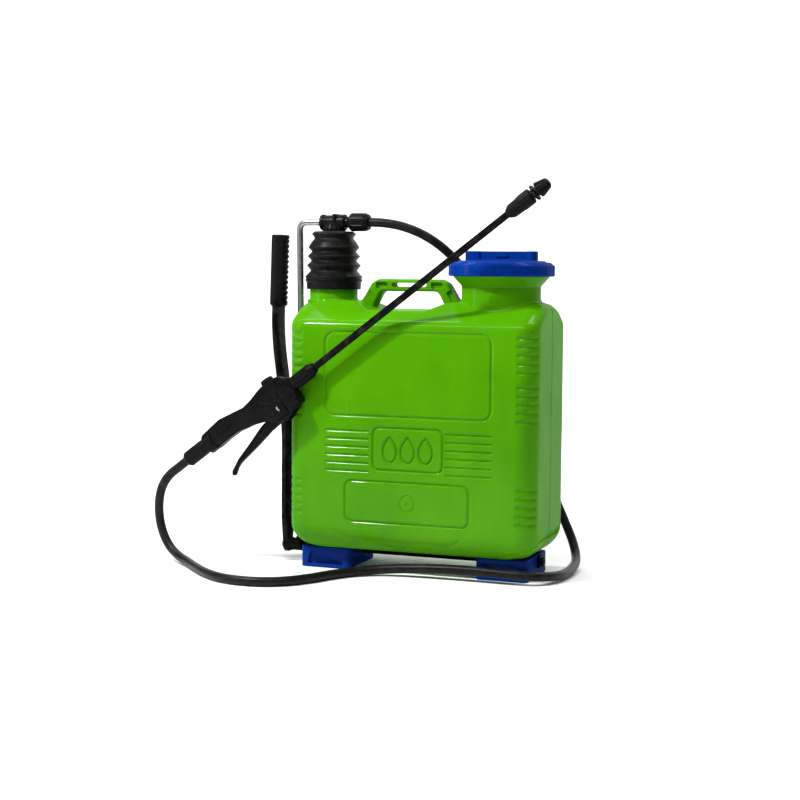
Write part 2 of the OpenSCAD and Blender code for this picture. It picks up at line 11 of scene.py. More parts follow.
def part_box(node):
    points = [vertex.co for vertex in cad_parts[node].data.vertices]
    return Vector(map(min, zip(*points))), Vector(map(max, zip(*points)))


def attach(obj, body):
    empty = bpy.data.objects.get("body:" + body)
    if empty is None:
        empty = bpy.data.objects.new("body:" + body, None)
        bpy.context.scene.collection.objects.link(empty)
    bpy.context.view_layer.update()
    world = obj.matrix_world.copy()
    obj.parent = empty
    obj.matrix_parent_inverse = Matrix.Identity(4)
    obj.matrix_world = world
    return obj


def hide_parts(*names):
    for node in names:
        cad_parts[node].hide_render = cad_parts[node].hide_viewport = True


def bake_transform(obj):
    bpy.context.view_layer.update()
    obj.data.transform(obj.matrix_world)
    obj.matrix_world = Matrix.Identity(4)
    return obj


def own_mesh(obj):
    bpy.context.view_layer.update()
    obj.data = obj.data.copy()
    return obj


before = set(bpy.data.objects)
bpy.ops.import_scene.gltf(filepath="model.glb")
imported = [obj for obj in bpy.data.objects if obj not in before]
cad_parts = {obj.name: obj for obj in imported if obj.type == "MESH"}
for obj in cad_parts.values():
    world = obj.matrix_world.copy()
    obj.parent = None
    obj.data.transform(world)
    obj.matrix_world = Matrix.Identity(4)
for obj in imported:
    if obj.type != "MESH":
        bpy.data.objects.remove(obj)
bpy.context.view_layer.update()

bl_info = {
    "name": "Knapsack sprayer",
    "version": (1, 0, 0),
    "blender": (4, 5, 0),
    "location": "3D View > Sidebar > Sprayer",
    "description": "Builds the looks of a lever-pumped knapsack sprayer around its frame",
    "category": "Object",
}

MM = 0.001
FULL_TURN = 2 * math.pi


def middle(node):
    """Centre of a frame node's box, in metres."""
    low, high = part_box(node)
    return (np.array(low) + np.array(high)) / 2


PUMP_X = middle("pump_cylinder")[0] / MM
LID_X = middle("lid_gasket")[0] / MM
HEAD_Z = middle("head_spigot")[2] / MM
SHAFT_Y, SHAFT_Z = middle("shaft_clip")[1:] / MM


# ---------------------------------------------------------------- settings
def length(name, text, value):
    return FloatProperty(name=name, description=text, default=value, unit="LENGTH")


def colour(name, text, value):
    return FloatVectorProperty(name=name, description=text, default=value, subtype="COLOR", min=0, max=1)


class SprayerSizes(PropertyGroup):
    """Sizes of the moulded detail."""
    groove_width: length("Groove width", "Width of the grooves moulded into the tank's front", 5.6 * MM)
    groove_depth: length("Groove depth", "Depth of those grooves", 2.0 * MM)
    rib_depth: length("Rib depth", "Depth of the short grooves on the tank's front corners", 1.9 * MM)
    neck_fillet: length("Neck fillet", "Radius between the filler neck and the shoulder", 6.0 * MM)
    hose_diameter: length("Hose diameter", "Outer diameter of the hose", 13.0 * MM)
    rod_diameter: length("Rod diameter", "Diameter of the connecting rod", 8.0 * MM)
    strap_width: length("Strap width", "Width of the carrying straps", 38.0 * MM)
    ring_steps: IntProperty(name="Ring steps", description="Sides of the turned pieces", default=96, min=24)


class SprayerColours(PropertyGroup):
    """Colours of the finishes."""
    green: colour("Green", "Tank plastic", (0.067, 0.282, 0.0010))
    green_deep: colour("Deep green", "Thicker places of the tank plastic", (0.049, 0.230, 0.0008))
    blue: colour("Blue", "Plastic of the feet and the lid", (0.0010, 0.023, 0.195))
    black: colour("Black", "Moulded black plastic", (0.0032, 0.0032, 0.0032))
    rubber: colour("Rubber", "Bellows and seals", (0.0036, 0.0034, 0.0032))
    hose: colour("Hose", "Hose rubber", (0.0045, 0.0045, 0.0045))
    steel: colour("Steel", "Bright steel", (0.34, 0.35, 0.37))
    webbing: colour("Webbing", "Straps and pads", (0.014, 0.014, 0.016))
    natural: colour("Natural plastic", "Unpigmented inner pieces", (0.66, 0.65, 0.58))
    dust: colour("Dust", "Dust and scuffs", (0.32, 0.31, 0.28))


class StudioSettings(PropertyGroup):
    """Camera and lights."""
    camera_place: FloatVectorProperty(name="Camera place", description="Where the camera stands",
                                      default=(0.7387, -2.0853, 0.42365), unit="LENGTH")
    camera_turn: FloatProperty(name="Camera turn", description="Turn of the camera to the left",
                               default=math.radians(20.49), unit="ROTATION")
    camera_dip: FloatProperty(name="Camera dip", description="How far the camera looks down",
                              default=math.radians(4.82), unit="ROTATION")
    camera_roll: FloatProperty(name="Camera roll", description="Roll of the camera",
                               default=math.radians(0.40), unit="ROTATION")
    lens: FloatProperty(name="Lens", description="Focal length of the lens, in millimetres",
                        default=71.1, min=10)
    key_power: FloatProperty(name="Key light", description="Power of the light above the front, in watts",
                             default=28.0, min=0)
    fill_power: FloatProperty(name="Fill light", description="Power of the light at the left, in watts",
                              default=7.0, min=0)
    backdrop_power: FloatProperty(name="Backdrop light",
                                  description="Power of the light on the backdrop, in watts",
                                  default=104.0, min=0)
    sky_strength: FloatProperty(name="Sky strength", description="Strength of the even white surround",
                                default=0.15, min=0)


def sizes():
    return bpy.context.scene.sprayer_sizes


def size(name):
    """A size of the settings in millimetres."""
    return getattr(sizes(), name) / MM


def colours():
    return bpy.context.scene.sprayer_colours


def studio():
    return bpy.context.scene.sprayer_studio


# ---------------------------------------------------------------- outlines and paths
def unit(vector):
    return vector / max(float(np.linalg.norm(vector)), 1e-12)


def rounded(corners, closed=True, step=10.0):
    """Points through corners (coordinates..., radius), each corner turned into an arc of that radius."""
    corners = np.array(corners, float)
    places, radii = corners[:, :-1], corners[:, -1]
    count = len(places)
    points = []
    for i in range(count):
        here, radius = places[i], radii[i]
        if radius <= 0 or (not closed and i in (0, count - 1)):
            points.append(here)
            continue
        back, ahead = places[i - 1] - here, places[(i + 1) % count] - here
        a, b = unit(back), unit(ahead)
        inner = math.acos(max(-1.0, min(1.0, float(a @ b))))
        if inner > math.pi - 0.01:
            points.append(here)
            continue
        reach = min(radius / math.tan(inner / 2), 0.49 * np.linalg.norm(back), 0.49 * np.linalg.norm(ahead))
        radius = reach * math.tan(inner / 2)
        centre = here + unit(a + b) * (radius / math.sin(inner / 2))
        start, stop = here + a * reach - centre, here + b * reach - centre
        sweep = math.pi - inner
        steps = max(2, int(math.degrees(sweep) / step) + 1)
        for k in range(steps + 1):
            t = k / steps
            points.append(centre + (math.sin((1 - t) * sweep) * start + math.sin(t * sweep) * stop)
                          / math.sin(sweep))
    return np.array(points)


def smooth_path(points, steps):
    """A curve through every point, with steps places from each to the next."""
    p = np.array(points, float)
    p = np.vstack([2 * p[0] - p[1], p, 2 * p[-1] - p[-2]])
    out = []
    for i in range(1, len(p) - 2):
        a, b, c, d = p[i - 1], p[i], p[i + 1], p[i + 2]
        for k in range(steps):
            t = k / steps
            out.append(0.5 * (2 * b + (c - a) * t + (2 * a - 5 * b + 4 * c - d) * t * t
                              + (3 * b - a - 3 * c + d) * t ** 3))
    out.append(p[-2])
    return np.array(out)


def carried_frames(path, first=(0.0, 0.0, 1.0)):
    """Two crosswise directions at each place of a path, carried along it without twist."""
    path = np.array(path, float)
    along = np.gradient(path, axis=0)
    along /= np.linalg.norm(along, axis=1)[:, None]
    side = unit(np.array(first) - (np.array(first) @ along[0]) * along[0])
    sides = []
    for direction in along:
        side = unit(side - (side @ direction) * direction)
        sides.append(side)
    sides = np.array(sides)
    return sides, np.cross(along, sides)


def round_section(radius, steps=24):
    turn = np.arange(steps) * FULL_TURN / steps
    return np.stack([radius * np.cos(turn), radius * np.sin(turn)], axis=1)


def soft_box(half_a, half_b, radius, step=22.5):
    """Rectangle with round corners, counterclockwise."""
    corners = [(half_a, half_b, radius), (-half_a, half_b, radius), (-half_a, -half_b, radius),
               (half_a, -half_b, radius)]
    return rounded(corners, step=step)


# ---------------------------------------------------------------- forms: (points, faces)
def grid_form(rings, around=True, along=False, caps=True):
    """Skin over rings of points; the ends are closed unless the rings run round in a loop."""
    rings = np.array(rings, float)
    rows, columns = rings.shape[:2]
    faces = []
    for r in range(rows if along else rows - 1):
        low, high = r * columns, ((r + 1) % rows) * columns
        for c in range(columns if around else columns - 1):
            d = (c + 1) % columns
            faces.append((low + c, low + d, high + d, high + c))
    if caps and not along:
        faces.append(tuple(range(columns - 1, -1, -1)))
        faces.append(tuple((rows - 1) * columns + c for c in range(columns)))
    return rings.reshape(-1, 3), faces


def turned(profile, steps=None, swell=None, loop=None):
    """Profile of (radius, height) turned about Z; swell(angle, height) scales the radius."""
    profile = np.array(profile, float)
    steps = steps or sizes().ring_steps
    angle = np.arange(steps) * FULL_TURN / steps
    loop = bool(profile[0, 0] > 0 and profile[-1, 0] > 0) if loop is None else loop
    rings = []
    for radius, height in profile:
        r = radius * (swell(angle, height) if swell else np.ones(steps))
        rings.append(np.stack([r * np.cos(angle), r * np.sin(angle), np.full(steps, height)], axis=1))
    return grid_form(rings, along=loop)


def swept(path, section, frames=None, scale=None):
    """Section of (side, across) points carried along a path; scale gives each place its own factor pair."""
    path = np.array(path, float)
    side, across = frames or carried_frames(path)
    rings = []
    for i, place in enumerate(path):
        shape = section(i) if callable(section) else section
        a, b = scale[i] if scale is not None else (1.0, 1.0)
        rings.append(place + np.outer(shape[:, 0] * a, side[i]) + np.outer(shape[:, 1] * b, across[i]))
    return grid_form(rings)


def inset(outline, distance):
    """Outline moved inwards by a distance, corner by corner."""
    before, after = np.roll(outline, 1, axis=0), np.roll(outline, -1, axis=0)
    a = outline - before
    b = after - outline
    a /= np.maximum(np.linalg.norm(a, axis=1), 1e-12)[:, None]
    b /= np.maximum(np.linalg.norm(b, axis=1), 1e-12)[:, None]
    left_a = np.stack([-a[:, 1], a[:, 0]], axis=1)
    left_b = np.stack([-b[:, 1], b[:, 0]], axis=1)
    mid = left_a + left_b
    mid /= np.maximum(np.linalg.norm(mid, axis=1), 1e-12)[:, None]
    stretch = 1 / np.maximum((mid * left_b).sum(axis=1), 0.6)
    return outline + mid * (distance * stretch)[:, None]


def slab(outline, half, edge, steps=4):
    """Counterclockwise outline given a thickness of 2 * half along Z, with round edges."""
    outline = np.array(outline, float)
    rings = []
    turns = [k * math.pi / 2 / steps for k in range(steps + 1)]
    layers = [(-half + edge * (1 - math.sin(t)), edge * (1 - math.cos(t))) for t in reversed(turns)]
    layers += [(half - edge * (1 - math.sin(t)), edge * (1 - math.cos(t))) for t in turns]
    for height, shrink in layers:
        flat = inset(outline, shrink)
        rings.append(np.column_stack([flat, np.full(len(flat), height)]))
    return grid_form(rings)


def moved(form, matrix):
    points, faces = form
    m = np.array(matrix)
    points = points @ m[:3, :3].T + m[:3, 3]
    if np.linalg.det(m[:3, :3]) < 0:
        faces = [tuple(reversed(f)) for f in faces]
    return points, faces


def joined(*forms):
    points, faces, start = [], [], 0
    for p, f in forms:
        points.append(p)
        faces += [tuple(i + start for i in face) for face in f]
        start += len(p)
    return np.vstack(points), faces


def columns_matrix(x, y, z, place=(0, 0, 0)):
    """Matrix that sends X, Y and Z to the given directions and the origin to a place."""
    m = np.identity(4)
    m[:3, 0], m[:3, 1], m[:3, 2], m[:3, 3] = x, y, z, place
    return m


def along_x(place=(0, 0, 0)):
    return columns_matrix((0, 1, 0), (0, 0, 1), (1, 0, 0), place)


def upright(place=(0, 0, 0)):
    """Outline X, Y becomes world X, Z; the thickness runs along Y."""
    return columns_matrix((1, 0, 0), (0, 0, 1), (0, -1, 0), place)


def standing(place=(0, 0, 0)):
    return columns_matrix((1, 0, 0), (0, 1, 0), (0, 0, 1), place)


# ---------------------------------------------------------------- objects
def solid(name, form):
    """Mesh object of a form in millimetres, with coincident points joined and normals outwards."""
    points, faces = form
    mesh = bpy.data.meshes.new(name)
    mesh.from_pydata([tuple(p) for p in np.asarray(points) * MM], [], faces)
    work = bmesh.new()
    work.from_mesh(mesh)
    bmesh.ops.remove_doubles(work, verts=work.verts, dist=2e-6)
    bmesh.ops.dissolve_degenerate(work, edges=work.edges, dist=1e-7)
    bmesh.ops.recalc_face_normals(work, faces=work.faces)
    work.to_mesh(mesh)
    work.free()
    thing = bpy.data.objects.new(name, mesh)
    bpy.context.scene.collection.objects.link(thing)
    return thing


def combine(target, kind, *forms):
    """Adds forms to a mesh object, or cuts them out of it."""
    for form in forms:
        tool = solid("tool", form)
        step = target.modifiers.new(kind, "BOOLEAN")
        step.operation = kind
        step.solver = "MANIFOLD"
        step.object = tool
        bpy.context.view_layer.update()
        seen = target.evaluated_get(bpy.context.evaluated_depsgraph_get())
        mesh = bpy.data.meshes.new_from_object(seen)
        if len(mesh.polygons) == 0:
            raise RuntimeError(f"{kind} left nothing of {target.name}")
        target.modifiers.clear()
        old = target.data
        target.data = mesh
        mesh.name = target.name
        bpy.data.meshes.remove(old)
        worn = tool.data
        bpy.data.objects.remove(tool)
        bpy.data.meshes.remove(worn)
    return target


def smooth_shade(thing, finish, sharp):
    mesh = thing.data
    mesh.materials.clear()
    mesh.materials.append(finish)
    mesh.polygons.foreach_set("use_smooth", [True] * len(mesh.polygons))
    mesh.set_sharp_from_angle(angle=math.radians(sharp))


def dress(thing, finish, body, nodes=(), sharp=32.0):
    """Smooth shading, finish, the body that the piece rides on and the frame nodes that it stands for."""
    smooth_shade(thing, finish, sharp)
    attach(thing, body)
    if nodes:
        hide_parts(*nodes)
    return thing


def piece(name, form, finish, body, nodes=(), sharp=32.0):
    return dress(solid(name, form), finish, body, nodes, sharp)


# ---------------------------------------------------------------- finishes
class Wire:
    """A number or a colour on its way between the nodes of a finish."""

    def __init__(self, finish, socket):
        self.finish = finish
        self.socket = socket

    def maths(self, operation, first, second=0.0):
        return self.finish.add("ShaderNodeMath", {"operation": operation}, {0: first, 1: second})

    def __add__(self, other):
        return self.maths("ADD", self, other)

    __radd__ = __add__

    def __sub__(self, other):
        return self.maths("SUBTRACT", self, other)

    def __rsub__(self, other):
        return self.maths("SUBTRACT", other, self)

    def __mul__(self, other):
        return self.maths("MULTIPLY", self, other)

    __rmul__ = __mul__

    def __truediv__(self, other):
        return self.maths("DIVIDE", self, other)

    def least(self, other):
        return self.maths("MINIMUM", self, other)

    def sine(self):
        return self.maths("SINE", self)

    def size(self):
        return self.maths("ABSOLUTE", self)


class Finish:
    """A material built round one Principled shader."""

    def __init__(self, name, **constants):
        self.material = bpy.data.materials.new(name)
        self.material.use_nodes = True
        self.tree = self.material.node_tree
        self.shader = next(n for n in self.tree.nodes if n.type == "BSDF_PRINCIPLED")
        for socket, value in constants.items():
            self.shader.inputs[socket.replace("_", " ")].default_value = value

    def add(self, kind, settings=None, inputs=None, output=0):
        """One node: its settings first, then the values or wires of its sockets."""
        node = self.tree.nodes.new(kind)
        for key, value in (settings or {}).items():
            if key == "stops":
                ramp = node.color_ramp.elements
                while len(ramp) < len(value):
                    ramp.new(0.5)
                for element, (place, shade) in zip(ramp, value):
                    element.position = place
                    element.color = (shade, shade, shade, 1)
            else:
                setattr(node, key, value)
        for key, value in (inputs or {}).items():
            self.plug(node.inputs[key], value)
        return Wire(self, node.outputs[output])

    def plug(self, socket, value):
        if isinstance(value, Wire):
            self.tree.links.new(value.socket, socket)
        else:
            socket.default_value = value

    def place(self, stretch=(1.0, 1.0, 1.0)):
        """Position on the piece, in metres, stretched along its axes."""
        spot = self.add("ShaderNodeTexCoord", output="Object")
        return self.add("ShaderNodeVectorMath", {"operation": "MULTIPLY"}, {0: spot, 1: stretch})

    def noise(self, scale, detail=3.0, stretch=(1.0, 1.0, 1.0), roughness=0.55):
        return self.add("ShaderNodeTexNoise", None, {"Vector": self.place(stretch), "Scale": scale,
                                                     "Detail": detail, "Roughness": roughness})

    def axis(self, name):
        spot = self.add("ShaderNodeTexCoord", output="Object")
        return self.add("ShaderNodeSeparateXYZ", None, {"Vector": spot}, name)

    def measured(self, name):
        """A number kept on the mesh itself."""
        return self.add("ShaderNodeAttribute", {"attribute_name": name}, output="Fac")

    def ramp(self, value, low, high, bottom=0.0, top=1.0):
        """Value between low and high spread from bottom to top."""
        return self.add("ShaderNodeMapRange", {"clamp": True},
                        {"Value": value, "From Min": low, "From Max": high, "To Min": bottom, "To Max": top})

    def mix(self, share, first, second):
        node_inputs = {0: share, 6: self.paint(first), 7: self.paint(second)}
        return self.add("ShaderNodeMix", {"data_type": "RGBA"}, node_inputs, 2)

    @staticmethod
    def paint(value):
        return value if isinstance(value, Wire) else (*tuple(value)[:3], 1.0)

    def colour(self, value):
        self.plug(self.shader.inputs["Base Color"], value)

    def roughness(self, value):
        self.plug(self.shader.inputs["Roughness"], value)

    def relief(self, *layers):
        """Bumps one over another, each a (height wire, depth in metres, strength)."""
        normal = None
        for height, depth, strength in layers:
            inputs = {"Height": height, "Distance": depth, "Strength": strength}
            if normal is not None:
                inputs["Normal"] = normal
            normal = self.add("ShaderNodeBump", None, inputs)
        self.plug(self.shader.inputs["Normal"], normal)


def scuffs(finish, density=0.5):
    """Mask of fine crossing scratches, thickest in random patches."""
    first = finish.ramp(finish.noise(260.0, 2.0, (1.0, 1.0, 0.045)), 0.66, 0.74)
    second = finish.ramp(finish.noise(310.0, 2.0, (0.06, 0.8, 1.0)), 0.67, 0.74)
    where = finish.ramp(finish.noise(9.0, 2.0), 0.5, 0.72)
    return ((first + second) * where * density).least(1.0)


def tank_plastic():
    tint = colours()
    finish = Finish("tank_plastic", Specular_IOR_Level=0.0, Coat_Weight=0.17, Coat_Roughness=0.10,
                    Subsurface_Weight=0.06, Subsurface_Scale=0.004)
    cloud = finish.ramp(finish.noise(7.0, 3.0), 0.35, 0.68)
    streak = finish.ramp(finish.noise(30.0, 2.0, (1.0, 1.0, 0.12)), 0.4, 0.75)
    worn = scuffs(finish, 0.35)
    base = finish.mix(cloud, tint.green_deep, tint.green)
    base = finish.mix(streak * 0.16, base, (0.100, 0.345, 0.003))
    # Darker, rougher patches towards the bottom of the tank, fading out 12 cm above the floor.
    low = finish.ramp(finish.axis("Z"), 0.12, 0.03)
    low_darkening = low * finish.ramp(finish.noise(55.0, 4.0), 0.45, 0.8) * 0.35
    base = finish.mix(low_darkening, base, (0.05, 0.11, 0.02))
    finish.colour(finish.mix(worn, base, (0.24, 0.55, 0.12)))
    finish.roughness(0.33 + 0.10 * cloud + 0.2 * worn + 0.2 * low_darkening)
    peel = finish.noise(700.0, 2.0)
    flow = finish.noise(38.0, 2.0)
    finish.relief((flow, 0.6 * MM, 0.16), (peel, 0.05 * MM, 0.5))
    return finish.material


def gloss_plastic():
    tint = colours()
    finish = Finish("blue_plastic", Specular_IOR_Level=0.0, Coat_Weight=0.10, Coat_Roughness=0.15)
    cloud = finish.ramp(finish.noise(24.0, 3.0), 0.35, 0.7)
    worn = scuffs(finish, 0.5)
    base = finish.mix(cloud * 0.35, tint.blue, (0.002, 0.034, 0.26))
    finish.colour(finish.mix(worn, base, (0.10, 0.20, 0.55)))
    finish.roughness(0.30 + 0.10 * cloud + 0.25 * worn)
    finish.relief((finish.noise(90.0, 2.0), 0.3 * MM, 0.12), (finish.noise(1500.0, 2.0), 0.03 * MM, 0.5))
    return finish.material


def moulded_black(name="moulded_black", shine=0.40, grain=1800.0):
    """Black plastic with a fine eroded grain, pale dust in the grain and small scuffs."""
    tint = colours()
    finish = Finish(name, Specular_IOR_Level=0.05, Coat_Weight=0.06, Coat_Roughness=0.25)
    fine = finish.noise(grain, 2.0)
    cloud = finish.ramp(finish.noise(40.0, 3.0), 0.4, 0.7)
    worn = scuffs(finish, 0.6)
    dusty = cloud * finish.ramp(finish.noise(420.0, 3.0), 0.5, 0.75) * 0.05
    base = finish.mix(dusty, tint.black, tint.dust)
    finish.colour(finish.mix(worn * 0.5, base, (0.07, 0.07, 0.07)))
    finish.roughness(shine + 0.12 * cloud + 0.15 * worn)
    finish.relief((finish.noise(160.0, 2.0), 0.15 * MM, 0.15), (fine, 0.05 * MM, 0.6))
    return finish.material


def bellows_rubber():
    """Satin rubber with a grey bloom and flow marks round the folds."""
    tint = colours()
    finish = Finish("bellows_rubber", Specular_IOR_Level=0.06, Coat_Weight=0.05, Coat_Roughness=0.3,
                    Sheen_Weight=0.01, Sheen_Roughness=0.5)
    bloom = finish.ramp(finish.noise(60.0, 4.0, (1.0, 1.0, 2.5)), 0.42, 0.78)
    speck = finish.ramp(finish.noise(900.0, 2.0), 0.62, 0.74)
    base = finish.mix(bloom * 0.05, tint.rubber, (0.16, 0.15, 0.14))
    finish.colour(finish.mix(speck * 0.05, base, tint.dust))
    finish.roughness(0.36 + 0.16 * bloom)
    finish.relief((finish.noise(1200.0, 2.0), 0.04 * MM, 0.6))
    return finish.material


def hose_rubber():
    """Extruded black hose whose inner braid shows through as two fine crossing spirals."""
    tint = colours()
    finish = Finish("hose_rubber", Specular_IOR_Level=0.12, Coat_Weight=0.04, Coat_Roughness=0.25)
    along, around = finish.measured("along"), finish.measured("around")
    pitch = 6.0 * MM
    strands = 4.0
    left = ((along / pitch + around * strands) * FULL_TURN).sine()
    right = ((along / pitch - around * strands) * FULL_TURN).sine()
    braid = finish.ramp((left.size()).least(right.size()), 0.0, 0.45)
    dusty = finish.ramp(finish.noise(70.0, 4.0), 0.45, 0.8)
    base = finish.mix(dusty * 0.04, tint.hose, tint.dust)
    finish.colour(finish.mix((1.0 - braid) * 0.10, base, (0.035, 0.035, 0.035)))
    finish.roughness(0.34 + 0.14 * dusty)
    finish.relief((braid, 0.12 * MM, 0.5), (finish.noise(1400.0, 2.0), 0.03 * MM, 0.5))
    return finish.material


def drawn_steel():
    """Bright drawn wire: streaks along it, a little dulling and small rust specks."""
    tint = colours()
    finish = Finish("drawn_steel", Metallic=1.0)
    streak = finish.noise(900.0, 2.0, (1.0, 1.0, 0.02))
    dull = finish.ramp(finish.noise(55.0, 4.0), 0.45, 0.75)
    rust = finish.ramp(finish.noise(240.0, 4.0), 0.70, 0.78)
    base = finish.mix(dull * 0.5, tint.steel, (0.25, 0.26, 0.27))
    finish.colour(finish.mix(rust * 0.4, base, (0.18, 0.09, 0.05)))
    finish.roughness(0.20 + 0.14 * dull + 0.12 * streak + 0.3 * rust)
    finish.relief((streak, 0.03 * MM, 0.5))
    return finish.material


def plated_steel():
    tint = colours()
    finish = Finish("plated_steel", Metallic=1.0)
    cloud = finish.ramp(finish.noise(180.0, 4.0), 0.4, 0.7)
    finish.colour(finish.mix(cloud * 0.5, tint.steel, (0.42, 0.41, 0.36)))
    finish.roughness(0.34 + 0.18 * cloud)
    finish.relief((finish.noise(1500.0, 2.0), 0.03 * MM, 0.5))
    return finish.material


def black_paint(name="black_paint"):
    """Satin paint with an orange peel and worn, greyer patches."""
    tint = colours()
    finish = Finish(name, Specular_IOR_Level=0.0, Coat_Weight=0.10, Coat_Roughness=0.16)
    worn = scuffs(finish, 0.7)
    cloud = finish.ramp(finish.noise(70.0, 3.0), 0.45, 0.75)
    base = finish.mix(cloud * 0.06, tint.black, tint.dust)
    finish.colour(finish.mix(worn * 0.5, base, (0.10, 0.10, 0.10)))
    finish.roughness(0.30 + 0.14 * cloud + 0.2 * worn)
    finish.relief((finish.noise(600.0, 2.0), 0.08 * MM, 0.4))
    return finish.material


def natural_plastic():
    tint = colours()
    finish = Finish("natural_plastic", Specular_IOR_Level=0.5, Subsurface_Weight=0.1, Subsurface_Scale=0.003)
    cloud = finish.ramp(finish.noise(60.0, 3.0), 0.4, 0.7)
    finish.colour(finish.mix(cloud, tint.natural, (0.58, 0.56, 0.47)))
    finish.roughness(0.45 + 0.1 * cloud)
    finish.relief((finish.noise(700.0, 2.0), 0.05 * MM, 0.5))
    return finish.material


def woven_webbing(name, rib):
    """Webbing: ribs across the band over a fine twill, with lint."""
    tint = colours()
    finish = Finish(name, Specular_IOR_Level=0.3, Sheen_Weight=0.35, Sheen_Roughness=0.5)
    across = (finish.axis("Z") / rib * FULL_TURN).sine()
    twill = ((finish.axis("Z") + finish.axis("X")) / (rib * 0.55) * FULL_TURN).sine()
    lint = finish.ramp(finish.noise(240.0, 4.0), 0.5, 0.8)
    # The rib crests are painted lighter than the hollows between them: painted shade in the hollows.
    base = finish.mix(finish.ramp(across, -1.0, 1.0, 0.0, 0.5), tint.webbing, (0.035, 0.035, 0.038))
    finish.colour(finish.mix(lint * 0.12, base, tint.dust))
    finish.roughness(0.78 + 0.12 * lint)
    finish.relief((across, 0.25 * MM, 0.6), (twill, 0.12 * MM, 0.5))
    return finish.material


FINISHES = {}


def finish_of(name, make):
    """Each finish is made once and shared."""
    if name not in FINISHES:
        FINISHES[name] = make()
    return FINISHES[name]


def green_skin():
    return finish_of("green", tank_plastic)


def blue_skin():
    return finish_of("blue", gloss_plastic)


def black_skin():
    return finish_of("black", moulded_black)


def grip_skin():
    return finish_of("grip", lambda: moulded_black("grip_black", 0.5, 2600.0))


def rubber_skin():
    return finish_of("rubber", bellows_rubber)


def paint_skin():
    return finish_of("paint", black_paint)


# ---------------------------------------------------------------- stage
def area_light(name, place, aim, size, power):
    lamp = bpy.data.lights.new(name, "AREA")
    lamp.shape = "RECTANGLE"
    lamp.size, lamp.size_y = size
    lamp.energy = power
    holder = bpy.data.objects.new(name, lamp)
    holder.location = place
    holder.rotation_euler = (Vector(aim) - Vector(place)).to_track_quat("-Z", "Y").to_euler()
    bpy.context.scene.collection.objects.link(holder)


def paper_floor():
    finish = Finish("paper", Specular_IOR_Level=0.2)
    finish.colour(finish.mix(finish.noise(3.0, 2.0) * 0.04, (0.95, 0.95, 0.95), (0.91, 0.91, 0.91)))
    finish.roughness(0.85 + 0.05 * finish.noise(20.0, 2.0))
    return finish.material


def make_stage():
    setup = studio()
    scene = bpy.context.scene
    turn, dip, roll = setup.camera_turn, setup.camera_dip, setup.camera_roll
    ahead = Vector((-math.sin(turn) * math.cos(dip), math.cos(turn) * math.cos(dip), -math.sin(dip)))
    right = Vector((math.cos(turn), math.sin(turn), 0))
    up = right.cross(ahead)
    rolled_right = right * math.cos(roll) + up * math.sin(roll)
    rolled_up = up * math.cos(roll) - right * math.sin(roll)
    lens = bpy.data.cameras.new("camera")
    lens.lens = setup.lens
    lens.sensor_width = 36.0
    lens.clip_end = 30
    camera = bpy.data.objects.new("camera", lens)
    camera.matrix_world = Matrix.Translation(Vector(setup.camera_place)) @ Matrix(
        (rolled_right, rolled_up, -ahead)).transposed().to_4x4()
    scene.collection.objects.link(camera)
    scene.camera = camera

    reach = 6000.0
    sweep = rounded([(-reach, 0, 0), (2300, 0, 1200), (2300, 5000, 0)], closed=False, step=4)
    rings = [[(-reach, y, z), (reach, y, z)] for y, z in sweep]
    floor = solid("paper_sweep", grid_form(rings, around=False, caps=False))
    floor.data.materials.append(paper_floor())
    floor.data.polygons.foreach_set("use_smooth", [True] * len(floor.data.polygons))

    world = bpy.data.worlds.new("surround")
    world.use_nodes = True
    back = world.node_tree.nodes["Background"]
    back.inputs["Color"].default_value = (1.0, 1.0, 1.0, 1.0)
    back.inputs["Strength"].default_value = setup.sky_strength
    scene.world = world
    scene.view_settings.view_transform = "Standard"
    aim = (0.0, 0.0, 0.25)
    area_light("key", (-0.74, -0.86, 1.50), aim, (0.11, 0.11), setup.key_power)
    area_light("strip", (0.0, -0.75, 1.3), (0.0, 0.0, 0.3), (1.4, 0.06), setup.fill_power * 1.5)
    area_light("left", (-1.7, -0.9, 0.7), aim, (0.5, 1.2), setup.fill_power)
    area_light("backdrop", (0.0, 0.9, 2.6), (0.0, 2.3, 0.9), (4.6, 0.6), setup.backdrop_power)


# ---------------------------------------------------------------- hose
HOSE_ROUTE = [(-87.6, 0, 486), (-64, 2, 484.5), (-38, 9, 479), (-12, 22, 467), (10, 39, 449), (29, 57, 425),
              (46, 74, 396), (61, 86, 362), (77, 91.5, 322), (95, 91.5, 276), (112, 91.5, 228),
              (129, 91.5, 180), (147, 91.5, 134), (163, 91.5, 96), (178, 90, 64), (191, 84, 38),
              (200, 70, 20), (205, 48, 12), (207, 20, 9.5), (206, -10, 8.5), (202, -38, 9.5),
              (190, -62, 11.5),
              (170, -75, 13), (142, -78, 14), (110, -78, 15), (70, -78, 15), (30, -78, 13.5), (-8, -80, 11),
              (-42, -88, 8.5), (-68, -106, 7), (-88, -134, 6.6), (-104, -166, 6.6), (-124, -195, 6.6),
              (-152, -213, 6.6), (-186, -217, 6.6), (-220, -208, 6.6), (-252, -186, 6.6), (-282, -157, 6.6),
              (-308, -130, 7), (-332, -111, 10), (-352, -101, 20), (-365, -98, 38), (-371.5, -98, 62),
              (-372, -98, 86), (-367, -98, 107), (-355.5, -98, 124), (-337.5, -98, 138.3),
              (-327.4, -98, 145.95)]
HOSE_STEPS = 7          # rings between two points of the route
HOSE_SPLIT = 12         # point of the route where the two stretches meet


